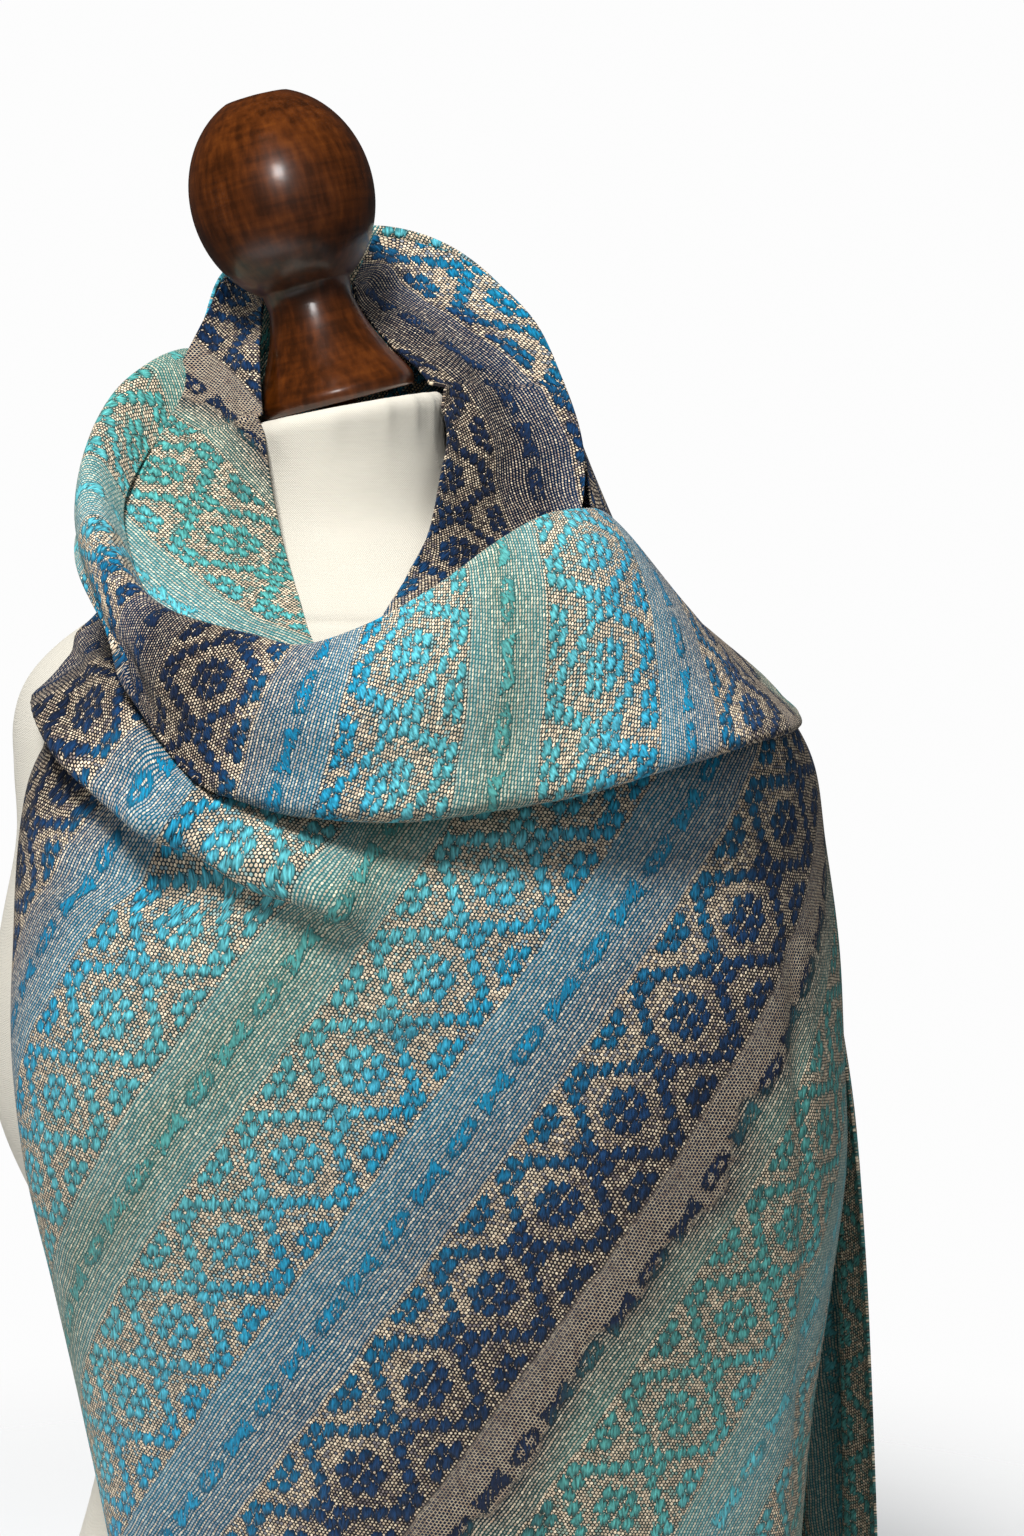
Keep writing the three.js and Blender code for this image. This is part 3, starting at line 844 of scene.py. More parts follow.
def shell_faces(u_count: int, v_count: int) -> list[tuple[int, int, int, int]]:
    """Gives the faces of a closed shell whose second side follows its first in the points.

    Args:
        u_count: Cells across.
        v_count: Cells down.

    Returns:
        Each face's four points, in order.
    """
    side = (u_count + 1) * (v_count + 1)

    def at(i: int, j: int, far: bool = False) -> int:
        """Gives the number of a point of one side."""
        return i * (v_count + 1) + j + (side if far else 0)

    faces = []
    for i in range(u_count):
        for j in range(v_count):
            faces.append((at(i, j), at(i + 1, j), at(i + 1, j + 1), at(i, j + 1)))
            faces.append((at(i, j, True), at(i, j + 1, True), at(i + 1, j + 1, True), at(i + 1, j, True)))
        faces.append((at(i, 0), at(i, 0, True), at(i + 1, 0, True), at(i + 1, 0)))
        faces.append((at(i, v_count), at(i + 1, v_count), at(i + 1, v_count, True), at(i, v_count, True)))
    for j in range(v_count):
        faces.append((at(0, j), at(0, j + 1), at(0, j + 1, True), at(0, j, True)))
        faces.append((at(u_count, j), at(u_count, j, True), at(u_count, j + 1, True), at(u_count, j + 1)))
    return faces


# ---------------------------------------------------------------- dress form
@dataclass
class DressForm:
    """The padded, linen-covered torso that the shawl rests on, turned with the drape frame."""

    segments: int = 128
    seam_up: float = 646.0
    neck_lift: float = 6.9
    neck_slope: float = 0.19
    rim_margin: float = 3.0
    settling_rounds: int = 6
    longest_move: float = 20.0
    probe: float = 0.5
    tuck_depth: float = 1.9
    seam_depth: float = 1.3
    rows: np.ndarray = field(default_factory=lambda: np.array([
        [0, 166, 116, 132, 2.3], [50, 170, 119, 138, 2.3], [100, 166, 117, 135, 2.3],
        [155, 146, 109, 119, 2.3], [205, 132, 99, 98, 2.25], [250, 125, 96, 87, 2.2],
        [300, 131, 106, 87, 2.25], [350, 150, 130, 94, 2.45], [400, 166, 145, 101, 2.65],
        [450, 172, 147, 108, 2.6], [495, 168, 141, 112, 2.45], [535, 168, 131, 113, 2.25],
        [568, 178, 123, 111, 2.1], [592, 184, 116, 107, 2.0], [612, 178, 109, 101, 1.95],
        [630, 160, 100, 95, 1.9], [648, 129, 89, 85, 1.9], [667, 91, 76, 72, 1.95],
        [690, 65, 61, 60, 2], [715, 55, 54, 54, 2], [740, 53, 53, 53, 2],
    ], float))

    def section(self, up: np.ndarray) -> np.ndarray:
        """Reads the half breadth, front, back and squareness at each level.

        Args:
            up: The levels, in millimetres.

        Returns:
            A row of the four sizes for each level.
        """
        level = np.clip(up, 0, NECK_TOP)
        height = self.rows[:, 0]
        last = len(height) - 1
        i = np.clip(np.searchsorted(height, level) - 1, 0, last - 1)
        width = (height[i + 1] - height[i])[:, None]
        before, after = np.maximum(np.arange(last + 1) - 1, 0), np.minimum(np.arange(last + 1) + 1, last)
        slope = (self.rows[after, 1:] - self.rows[before, 1:]) / (height[after] - height[before])[:, None]
        t = (level - height[i])[:, None] / width
        return hermite(self.rows[i, 1:], self.rows[i + 1, 1:], slope[i] * width, slope[i + 1] * width, t)

    def outside(self, points: np.ndarray) -> np.ndarray:
        """Tells how far places lie outside the form, as a share of its size there.

        Args:
            points: Places in the form's frame.

        Returns:
            A share, less than 0 inside the form.
        """
        half, front, back, square = self.section(points[:, 2]).T
        depth = np.where(points[:, 1] < 0, front, back)
        x, y = np.abs(points[:, 0]) / half, np.abs(points[:, 1]) / depth
        return (x ** square + y ** square) ** (1 / square) - 1

    def lift(self, points: np.ndarray) -> np.ndarray:
        """Gives how far the neck's leaning top lifts each place near it.

        Args:
            points: Places in the form's frame.

        Returns:
            The lift of each, in millimetres.
        """
        t = np.clip((points[:, 2] - NECK_LEAN_FROM) / (NECK_TOP - NECK_LEAN_FROM), 0, 1)
        across = points[:, 0] * math.cos(DRAPE_TURN) + points[:, 1] * math.sin(DRAPE_TURN)
        return t * t * (3 - 2 * t) * (self.neck_lift + self.neck_slope * across)

    def cleared(self, places: np.ndarray) -> np.ndarray:
        """Moves places of the drape off the form, so that the cloth rests on it.

        Args:
            places: Places in the drape frame.

        Returns:
            The places, moved where they had to be.
        """
        p = turned(places)
        wanted = CLOTH_WALL / 2 + SEAT_GAP
        probes = self.probe * np.eye(3)
        for _ in range(self.settling_rounds):
            rim = np.column_stack([p[:, :2], np.full(len(p), NECK_TOP)])
            top = NECK_TOP + self.lift(rim) + self.rim_margin
            value = self.outside(p)
            slope = np.stack([(self.outside(p + way) - value) / self.probe for way in probes], -1)
            steep = np.maximum(np.linalg.norm(slope, axis=1), 1e-9)
            short = wanted - value / steep
            move = np.where((short > 0) & (p[:, 2] < top), np.minimum(short, self.longest_move) / steep, 0)
            p = p + slope * move[:, None]
        return turned(p, -DRAPE_TURN)

    def gathers(self, points: np.ndarray, angle: np.ndarray) -> np.ndarray:
        """Gives the relief of the seam round the neck's foot and the tucks at the neck's top.

        Args:
            points: Places on the form.
            angle: Each one's angle round it.

        Returns:
            How far each place stands out, in millimetres.
        """
        up = points[:, 2]
        seam = -self.seam_depth * np.exp(-(((up - self.seam_up) / 1.6) ** 2))
        near = np.exp(-(((up - self.seam_up - 5) / 7) ** 2))
        pucker = 0.45 * near * np.sin(angle * 46 + 0.8 * np.sin(angle * 9))
        top = np.exp(-(((up - NECK_TOP) / 16) ** 2))
        wave = np.sin(angle * 17 + 2.2 * np.sin(angle * 3))
        tuck = self.tuck_depth * top * (np.maximum(wave, 0.2) - 0.2)
        return seam + pucker + tuck

    def build(self, material: bpy.types.Material) -> bpy.types.Object:
        """Builds the smooth covered torso.

        Args:
            material: The linen.

        Returns:
            The piece that stands for the node form_body.
        """
        s = np.linspace(0, math.tau, self.segments, endpoint=False)
        levels = np.concatenate([
            np.linspace(0, 4, 4), np.linspace(8, 600, 110), np.linspace(603, 731, 76),
            [733, 735.2, 737.2, 738.8, 739.7, 740],
        ])
        angle, up = (a.ravel() for a in np.meshgrid(s, levels))
        half, front, back, square = self.section(up).T
        power = 2 / square
        depth = np.where(np.sin(angle) < 0, front, back)
        x = np.sign(np.cos(angle)) * np.abs(np.cos(angle)) ** power * half
        y = np.sign(np.sin(angle)) * np.abs(np.sin(angle)) ** power * depth
        points = np.stack([x, y, up], -1)
        edge_levels = [0, 1.3, 4, 733, 735.2, 737.2, 738.8, 739.7, 740]
        inset = np.interp(up, edge_levels, [2.2, 0.6, 0, 0, 0.4, 1.3, 2.7, 4.2, 6])
        relief = self.gathers(points, angle) - inset
        out = points[:, :2] / np.maximum(np.linalg.norm(points[:, :2], axis=1), 1)[:, None]
        points[:, :2] += out * relief[:, None]
        points[:, 2] += self.lift(points)
        rows, count = len(levels), self.segments
        points = np.vstack([points, [[0, 0, 0], [0, 0, NECK_TOP + self.neck_lift]]]) * MILLIMETRE
        faces = []
        for k in range(rows - 1):
            for i in range(count):
                a, b = k * count + i, k * count + (i + 1) % count
                faces.append((a, b, b + count, a + count))
        for i in range(count):
            faces.append((rows * count, (i + 1) % count, i))
            top = (rows - 1) * count
            faces.append((rows * count + 1, top + i, top + (i + 1) % count))
        piece = mesh_object("covered_torso", points, faces, material)
        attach(piece, "root")
        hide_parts("form_body")
        return piece


@dataclass
class TurnedFinial:
    """The varnished wooden cap and ball on the form's neck."""

    base_radius: float = 40.0
    waist_radius: float = 21.0
    ball_radius: float = 45.3
    ball_half_height: float = 52.0
    ball_centre: float = 104.0
    ball_flat_radius: float = 16.0
    spigot_radius: float = 10.0
    spigot_length: float = 2.0
    foot_up: float = NECK_TOP + 10.8
    lean_across: float = math.radians(14.5)
    lean_deep: float = math.radians(3)
    segments: int = 96

    def profile(self) -> np.ndarray:
        """Gives the turning's outline as radius and height, from the spigot to the ball's top.

        Returns:
            A row for each ring.
        """
        base = self.base_radius
        rows = [
            [self.spigot_radius, -self.spigot_length], [self.spigot_radius, -0.2], [base - 2.4, -0.1],
            [base - 1.5, 0], [base - 0.5, 0.5], [base, 1.5], [base + 0.6, 4.5], [base + 0.3, 6.4],
            [base - 0.6, 8], [36.6, 13], [32.2, 20], [28.2, 28], [24.8, 36], [22.4, 44],
            [self.waist_radius, 50.5],
        ]
        neck = through(np.array(rows[8:], float), np.linspace(0, 1, 26)).tolist()
        first = -math.acos(self.waist_radius / self.ball_radius) + 0.03
        last = math.acos(self.ball_flat_radius / self.ball_radius)
        ball = [
            [self.ball_radius * math.cos(a), self.ball_centre + self.ball_half_height * math.sin(a)]
            for a in np.linspace(first, last, 44)
        ]
        crown = [[self.ball_flat_radius * 0.6, ball[-1][1] + 0.7]]
        return np.array(rows[:8] + neck + ball + crown, float)

    def build(self, material: bpy.types.Material) -> bpy.types.Object:
        """Raises the turning ring by ring from its spigot, then leans it on the neck.

        Args:
            material: The varnished wood.

        Returns:
            The piece that stands for the node neck_finial.
        """
        outline = self.profile() * MILLIMETRE
        radius, up = outline[0]
        drop_selection()
        bpy.ops.mesh.primitive_circle_add(
            vertices=self.segments, radius=radius, fill_type="TRIFAN", location=(0, 0, up)
        )
        piece = bpy.context.object
        piece.name = piece.data.name = "turned_finial"
        bpy.ops.object.mode_set(mode="EDIT")
        bpy.ops.mesh.select_all(action="SELECT")
        for next_radius, next_up in outline[1:]:
            bpy.ops.mesh.extrude_region_move(TRANSFORM_OT_translate={"value": (0, 0, next_up - up)})
            share = next_radius / radius
            bpy.ops.transform.resize(value=(share, share, 1), center_override=(0, 0, next_up))
            radius, up = next_radius, next_up
        bpy.ops.mesh.select_all(action="SELECT")
        bpy.ops.mesh.normals_make_consistent(inside=False)
        bpy.ops.object.mode_set(mode="OBJECT")
        bpy.ops.object.transform_apply(location=True, rotation=False, scale=False)
        lean = Matrix.Rotation(self.lean_deep, 4, "X") @ Matrix.Rotation(-self.lean_across, 4, "Y")
        foot = Matrix.Translation((0, 0, self.foot_up * MILLIMETRE))
        piece.matrix_world = Matrix.Rotation(DRAPE_TURN, 4, "Z") @ foot @ lean
        bpy.ops.object.transform_apply(location=True, rotation=True, scale=True)
        bpy.ops.object.shade_smooth()
        piece.data.materials.append(material)
        drop_selection()
        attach(piece, "root")
        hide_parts("neck_finial")
        return piece


# ---------------------------------------------------------------- cloth
@dataclass(frozen=True)
class Crease:
    """A soft fold along a line of places on the cloth: a ridge, or a trough if its height is less than 0.

    The line is given in millimetres, as across and up or as distances over the cloth's own grid. Its
    lap shifts the cloth above the line down over what lies below it.
    """

    line: tuple[tuple[float, float], ...]
    width: float
    height: float
    end_height: float | None = None
    lip: float = 0.0
    lap: float = 0.0
    lip_step: float = 2.6
    lip_reach: float = 17.0
    lap_step: float = 4.5
    lap_reach: float = 15.0

    def measured(self, x: np.ndarray, y: np.ndarray) -> tuple[np.ndarray, np.ndarray, np.ndarray]:
        """Gives each place's distance from the line, signed, and its share of the way along.

        Args:
            x: First coordinate of each place.
            y: Second coordinate of each place.

        Returns:
            The distance, the signed distance, and the share along.
        """
        best = np.full(x.shape, 1e9)
        signed, share = np.zeros(x.shape), np.zeros(x.shape)
        line = np.array(self.line, float)
        runs = np.linalg.norm(np.diff(line, axis=0), axis=1)
        starts = np.concatenate([[0], np.cumsum(runs)]) / runs.sum()
        for k, run in enumerate(runs):
            way = (line[k + 1] - line[k]) / run
            dx, dy = x - line[k, 0], y - line[k, 1]
            along = np.clip(dx * way[0] + dy * way[1], 0, run)
            ox, oy = dx - along * way[0], dy - along * way[1]
            away = np.hypot(ox, oy)
            nearer = away < best
            best = np.where(nearer, away, best)
            side = np.sign(way[0] * oy - way[1] * ox)
            signed = np.where(nearer, side * away, signed)
            share = np.where(nearer, starts[k] + along / runs.sum(), share)
        return best, signed, share

    def shape(self, x: np.ndarray, y: np.ndarray) -> tuple[np.ndarray, np.ndarray]:
        """Gives the rise off the cloth and the shift of the cloth across the line.

        Args:
            x: First coordinate of each place.
            y: Second coordinate of each place.

        Returns:
            The rise and the shift, in millimetres.
        """
        away, signed, share = self.measured(x, y)
        last = self.height if self.end_height is None else self.end_height
        size = self.height + (last - self.height) * share
        rise = size * np.exp(-((away / self.width) ** 2))
        fade = np.clip((1 - share) * 1.25, 0, 1)
        if self.lip:
            under = 0.5 * (1 - np.tanh(signed / self.lip_step)) * np.exp(-((away / self.lip_reach) ** 2))
            rise = rise - self.lip * fade * under
        nearness = np.exp(-((away / self.lap_reach) ** 2))
        shift = -self.lap * fade * np.tanh(signed / self.lap_step) * nearness
        return rise, shift


class Layers:
    """The cloths laid so far. What is laid later keeps outside them."""

    def __init__(self) -> None:
        """Starts with nothing laid."""
        self.laid: list[tuple[KDTree, np.ndarray, np.ndarray]] = []

    def lay(self, grid: np.ndarray) -> None:
        """Lays a cloth, given as a fine grid of its places.

        Args:
            grid: Places by their two numbers in the grid.
        """
        normals = grid_normals(grid).reshape(-1, 3)
        places = grid.reshape(-1, 3)
        facing = normals[:, 0] * places[:, 0] + normals[:, 1] * places[:, 1]
        normals = np.where(facing[:, None] < 0, -normals, normals)
        tree = KDTree(len(places))
        for k, place in enumerate(places):
            tree.insert(place, k)
        tree.balance()
        self.laid.append((tree, places, normals))

    def cleared(self, places: np.ndarray) -> np.ndarray:
        """Moves places outside every cloth laid so far.

        Args:
            places: Places in the drape frame.

        Returns:
            The places, moved where they had to be.
        """
        p = places.copy()
        wanted = CLOTH_WALL + LAYER_GAP
        for _ in range(LAYER_ROUNDS):
            for tree, laid, normals in self.laid:
                nearest = np.array([tree.find(place)[1] for place in p])
                apart = p - laid[nearest]
                normal = normals[nearest]
                outside = (apart * normal).sum(1)
                beside = np.sqrt(np.maximum((apart ** 2).sum(1) - outside ** 2, 0))
                near = (outside < wanted) & (outside > -LAYER_DEPTH) & (beside < LAYER_REACH)
                p += normal * np.where(near, wanted - outside, 0)[:, None]
        return p


@dataclass
class Cloth:
    """One stretch of the shawl: a surface, its creases and its place in the weave."""

    form: DressForm
    layers: Layers
    name: str = ""
    node: str = ""
    counts: tuple[int, int] = (100, 40)
    flat: tuple[float, float] = (0.5, 0.5)
    rests_on: tuple[str, ...] = ("covered_torso",)
    creases: tuple[Crease, ...] = ()

    def surface(self, u: np.ndarray, v: np.ndarray) -> np.ndarray:
        """Gives the middle of the cloth at each place, before its creases."""
        raise NotImplementedError

    def grid(self, u_count: int, v_count: int) -> np.ndarray:
        """Samples the surface as a grid."""
        u, v = unit_grid(u_count, v_count)
        return self.surface(u, v).reshape(u_count + 1, v_count + 1, 3)

    def crease_place(self, grid: np.ndarray) -> tuple[np.ndarray, np.ndarray]:
        """Gives the coordinates in which the creases are drawn."""
        return grid[..., 0], grid[..., 2]

    def creased(self, grid: np.ndarray) -> np.ndarray:
        """Lays the creases on the surface and settles it on the form again.

        Args:
            grid: The cloth's middle before its creases.

        Returns:
            The cloth's middle with them.
        """
        if not self.creases:
            return grid
        normal = self.outward(grid)
        x, y = self.crease_place(grid)
        result = grid.copy()
        step = 0.05
        for crease in self.creases:
            rise, shift = crease.shape(x, y)
            result += normal * rise[..., None]
            if crease.lap:
                away = crease.measured(x, y)[1]
                gx = crease.measured(x + step, y)[1] - away
                gy = crease.measured(x, y + step)[1] - away
                size = np.maximum(np.hypot(gx, gy), 1e-9)
                result += shift[..., None] * np.stack([gx / size, np.zeros_like(gx), gy / size], -1)
        return self.form.cleared(result.reshape(-1, 3)).reshape(grid.shape)

    def outward(self, grid: np.ndarray) -> np.ndarray:
        """Gives the grid's normals, turned away from the neck's axis.

        Args:
            grid: The cloth's middle.

        Returns:
            A unit vector for each place.
        """
        normal = grid_normals(grid)
        middle = grid[grid.shape[0] // 2, grid.shape[1] // 2]
        facing = normal[grid.shape[0] // 2, grid.shape[1] // 2]
        return -normal if facing[0] * middle[0] + facing[1] * middle[1] < 0 else normal

    def weave(self, grid: np.ndarray) -> np.ndarray:
        """Gives the place in the weave at each place of the grid, in millimetres of cloth."""
        raise NotImplementedError

    def build(self, material: bpy.types.Material) -> bpy.types.Object:
        """Builds the cloth as a thin shell.

        Args:
            material: The woven finish.

        Returns:
            The piece that stands for this stretch's node.
        """
        base = self.grid(*self.counts)
        woven = self.weave(base)
        grid = self.creased(base)
        normal = self.outward(grid)
        sides = [grid + normal * SHELL_WALL / 2, grid - normal * SHELL_WALL / 2]
        points = turned(np.vstack([side.reshape(-1, 3) for side in sides])) * MILLIMETRE
        faces = shell_faces(*self.counts)
        piece = mesh_object(self.name, points, faces, material)
        if signed_volume(points, faces) < 0:
            piece.data.flip_normals()
        self.dress(piece, np.vstack([woven.reshape(-1, 2)] * 2))
        width = run_length(base, 0)[-1].mean() * MILLIMETRE
        length = run_length(base, 1)[:, -1].mean() * MILLIMETRE
        log.info("%s measures %.3f by %.3f m on its surface", self.name, width, length)
        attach(piece, "root")
        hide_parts(self.node)
        return piece

    def dress(self, piece: bpy.types.Object, woven: np.ndarray) -> None:
        """Writes the weave's map on the piece.

        Args:
            piece: The cloth's shell.
            woven: Place in the weave of each of its points.
        """
        layer = piece.data.uv_layers.new(name="cloth")
        corner = np.empty(len(piece.data.loops), dtype=np.int32)
        piece.data.loops.foreach_get("vertex_index", corner)
        layer.data.foreach_set("uv", woven[corner].astype(np.float32).ravel())


def signed_volume(points: np.ndarray, faces: list[tuple[int, int, int, int]]) -> float:
    """Measures a closed mesh's volume six times over, less than 0 if it is inside out.

    Args:
        points: The mesh's points.
        faces: Its faces, of four points each.

    Returns:
        The measure, in the points' own units.
    """
    quads = np.array(faces)
    a, b, c, d = (points[quads[:, k]] for k in range(4))
    return float((np.cross(b - a, c - a) * a).sum() + (np.cross(c - a, d - a) * a).sum())


@dataclass
class FrontSheet(Cloth):
    """The end that hangs over the chest, from the near shoulder down to its hem."""

    name: str = "front_end"
    node: str = "front_sheet"
    counts: tuple[int, int] = (190, 200)
    flat: tuple[float, float] = (0.59, 0.56)
    turn_from: float = math.radians(-90)
    turn_to: float = math.radians(112)
    square: float = 2.3
    hem_drop: float = 22.0
    weave_centre: tuple[float, float] = (80.0, 533.0)
    across_way: tuple[float, float] = (0.811, -0.585)
    along_way: tuple[float, float] = (0.577, 0.816)
    table: Stations = field(default_factory=lambda: Stations(
        "up left left_deep right right_deep front left_rise right_rise", [
            [594, -108, 6, 176, -48, -130, 43, 46],
            [585, -126, -18, 212, -34, -144, 33, 24],
            [565, -144, -32, 232, -30, -156, 20, 14],
            [535, -151, -42, 239, -30, -165, 6, 3],
            [490, -152, -58, 246, -28, -172, 0, 0],
            [440, -151, -74, 249, -26, -175, 0, 0],
            [385, -146, -70, 251, -22, -174, 0, 0],
            [325, -136, -52, 244, -18, -168, 0, 0],
            [260, -124, -42, 234, -16, -163, 0, 0],
            [190, -108, -60, 230, -14, -158, 0, 0],
            [125, -98, -80, 228, -12, -155, 0, 0],
            [70, -92, -90, 227, -10, -153, 0, 0],
        ]))
    folds: tuple[Crease, ...] = (
        Crease(((-146, 622), (-72, 566)), 15, 7, 15),
        Crease(((-72, 566), (10, 526)), 13, 11),
        Crease(((10, 526), (38, 476)), 13, 5),
        Crease(((-128, 574), (-60, 530)), 14, -5),
        Crease(((222, 430), (214, 90)), 14, 5),
        Crease(((120, 330), (150, 80)), 26, 4),
        Crease(((10, 300), (30, 80)), 28, 4),
        Crease(((-70, 290), (-45, 80)), 24, -4),
    )
    creases: tuple[Crease, ...] = (
        Crease((
            (-146, 612), (-119, 584), (-95, 567), (-75, 555), (-52, 545),
            (-31, 531), (6, 521), (26, 505), (37, 479),
        ), 12, 5, 1, lip=9.0, lap=10.0),
        Crease(((-120, 606), (-97, 584), (-74, 572), (-48, 560), (-26, 548)), 5, -4.5, -1.5),
        Crease(((-128, 634), (-95, 606), (-79, 588), (-58, 572)), 8, 4, 2),
        Crease(((-140, 640), (-116, 618), (-96, 592), (-74, 578)), 4.5, -3, -1),
        Crease(((26, 505), (38, 476), (42, 440)), 6, -2.5, -0.5),
        Crease(((-20, 548), (40, 524), (92, 520)), 13, 3, 1),
        Crease(((-130, 556), (-60, 512), (0, 500), (30, 470)), 11, -3.2, -0.5),
        Crease(((-110, 470), (-70, 380), (-60, 250)), 26, 3, 1),
        Crease(((60, 470), (110, 330), (120, 160)), 34, -3, -2),
        Crease(((186, 560), (206, 470), (212, 330), (205, 90)), 20, 3, 3),
        Crease(((214, 500), (225, 330), (226, 80)), 5, -2, -8),
    )

    def surface(self, u: np.ndarray, v: np.ndarray) -> np.ndarray:
        """Gives the middle of the cloth: arcs that bulge forward, with the broad folds.

        Args:
            u: Share of the way across the cloth, one for each place.
            v: Share of the way down it.

        Returns:
            The places of the cloth's middle.
        """
        row = self.table.at(v)
        angle = self.turn_from + (self.turn_to - self.turn_from) * u
        power = 2 / self.square
        side = np.sign(np.sin(angle)) * np.abs(np.sin(angle)) ** power
        forward = np.sign(np.cos(angle)) * np.abs(np.cos(angle)) ** power
        across = (row["left"] + row["right"]) / 2 + side * (row["right"] - row["left"]) / 2
        edge = row["left_deep"] + (row["right_deep"] - row["left_deep"]) * (side + 1) / 2
        rise = np.where(side < 0, row["left_rise"], row["right_rise"]) * side * side
        up = row["up"] + rise - self.hem_drop * v * v * (side + 1) / 2
        out = sum(fold.shape(across, up)[0] for fold in self.folds)
        deep = edge + (row["front"] - edge) * forward - out * np.abs(forward)
        across = across + out * side * (1 - np.abs(forward))
        return self.form.cleared(np.stack([across, deep, up], -1))

    def weave(self, grid: np.ndarray) -> np.ndarray:
        """Lays the stripes slantwise, up towards the near shoulder.

        Args:
            grid: The cloth's middle.

        Returns:
            Places across the stripes and along them.
        """
        reference = int(self.counts[0] * 0.47)
        level = int(self.counts[1] * 5 / 11)
        run = run_length(grid, 0)
        sideways = run - run[reference] + grid[reference, :, 0]
        down = run_length(grid, 1)
        upward = grid[:, level, 2][:, None] + down[:, level][:, None] - down
        x, y = sideways - self.weave_centre[0], upward - self.weave_centre[1]
        ways = (self.across_way, self.along_way)
        return np.stack([x * sideways_share + y * up_share for sideways_share, up_share in ways], -1)


@dataclass
class BackTail(Cloth):
    """The other end, thrown over the near shoulder and down the back in hanging folds."""

    name: str = "thrown_end"
    node: str = "back_tail"
    counts: tuple[int, int] = (240, 120)
    flat: tuple[float, float] = (0.33, 0.55)
    centre: float = 70.0
    turn_from: float = math.radians(-14)
    turn_to: float = math.radians(100)
    waves: float = 4.5
    corner_drop: float = 16.0
    across_from: float = 190.0
    along_from: float = 600.0
    table: Stations = field(default_factory=lambda: Stations("up ridge reach centre_deep rise wave", [
        [606, 200, 80, 28, 20, 0],
        [592, 214, 92, 35, 12, 1],
        [560, 230, 104, 42, 6, 2],
        [510, 243, 106, 48, 0, 4],
        [450, 252, 106, 52, 0, 6],
        [385, 261, 104, 54, 0, 8],
        [310, 267, 104, 56, 0, 9],
        [230, 271, 108, 58, 0, 10],
        [150, 274, 112, 60, 0, 11],
        [84, 276, 114, 60, 0, 12],
    ]))

    def surface(self, u: np.ndarray, v: np.ndarray) -> np.ndarray:
        """Gives the middle of the cloth: an arc round the back with folds that deepen downwards.

        Args:
            u: Share of the way across the cloth, one for each place.
            v: Share of the way down it.

        Returns:
            The places of the cloth's middle.
        """
        row = self.table.at(v)
        angle = self.turn_from + (self.turn_to - self.turn_from) * u
        swell = row["wave"] * np.cos(math.tau * self.waves * u + 0.5)
        across = self.centre + (row["ridge"] - self.centre + swell) * np.cos(angle)
        deep = row["centre_deep"] + (row["reach"] + swell) * np.sin(angle)
        corner = np.exp(-((u / 0.15) ** 2)) * (1 - v) ** 6
        up = row["up"] + row["rise"] * np.sin(math.pi * u) - self.corner_drop * corner
        return self.layers.cleared(self.form.cleared(np.stack([across, deep, up], -1)))

    def weave(self, grid: np.ndarray) -> np.ndarray:
        """Lays the stripes down the fall of the cloth."""
        return np.stack([run_length(grid, 0) + self.across_from, self.along_from - run_length(grid, 1)], -1)


LOOP_COLUMNS = "in_across in_deep in_up out_across out_deep out_up hollow"


@dataclass
class LoopSide(Cloth):
    """The inside of the loop on one side of the neck, from behind the finial to the throat."""

    counts: tuple[int, int] = (150, 60)
    table: Stations | None = None
    across_from: float = 0.0
    across_lean: float = 0.0
    across_way: float = 1.0
    along_from: float = 0.0

    def surface(self, u: np.ndarray, v: np.ndarray) -> np.ndarray:
        """Gives the middle of the cloth: a hollow strip between its two edges.

        Args:
            u: Share of the way down the strip, one for each place.
            v: Share of the way over it.

        Returns:
            The places of the cloth's middle.
        """
        row = self.table.at(u)
        near = np.stack([row["in_across"], row["in_deep"], row["in_up"]], -1)
        far = np.stack([row["out_across"], row["out_deep"], row["out_up"]], -1)
        places = near + (far - near) * v[:, None]
        places[:, 1] += row["hollow"] * 4 * v * (1 - v)
        return self.form.cleared(places)

    def crease_place(self, grid: np.ndarray) -> tuple[np.ndarray, np.ndarray]:
        """Draws the creases by distance down the strip and across it."""
        return run_length(grid, 0), run_length(grid, 1)

    def weave(self, grid: np.ndarray) -> np.ndarray:
        """Runs the stripes along the inner selvedge, leaning a little over it.

        Args:
            grid: The cloth's middle.

        Returns:
            Places across the stripes and along them.
        """
        down, over = run_length(grid, 0), run_length(grid, 1)
        middle = down[:, grid.shape[1] // 2][:, None]
        return np.stack([
            self.across_from + self.across_way * over + self.across_lean * middle,
            self.along_from - middle + 0 * over,
        ], -1)


def far_side(form: DressForm, layers: Layers) -> LoopSide:
    """Sets out the inside of the loop on the far side of the finial.

    Args:
        form: The form that it rests on.
        layers: The cloths laid before it.

    Returns:
        The stretch.
    """
    rows = [
        [-37, 38, 806, -52, 46, 828, 3],
        [-37, 12, 800, -63, 27, 804, 5],
        [-37, -9, 780, -82, 6, 760, 4],
        [-35, -30, 754, -87, -8, 738, 6],
        [-32, -47, 731, -100, -26, 711, 8],
        [-27, -61, 703, -103, -46, 685, 10],
        [-20, -74, 676, -95, -66, 657, 8],
        [-12, -85, 654, -74, -88, 636, 5],
        [-6, -94, 638, -49, -108, 622, 3],
        [2, -102, 624, -22, -120, 615, 1],
    ]
    return LoopSide(
        form, layers, "far_side_of_loop", "neck_left", flat=(0.27, 0.06),
        creases=(
            Crease(((10, 24), (70, 34), (120, 52)), 5, -2.6, -1),
            Crease(((60, 8), (150, 16), (230, 14)), 7, 2.2, 1),
            Crease(((110, 40), (190, 36)), 6, 2.5, 1),
        ),
        table=Stations(LOOP_COLUMNS, rows),
        across_from=70, across_lean=0.7, along_from=20,
    )


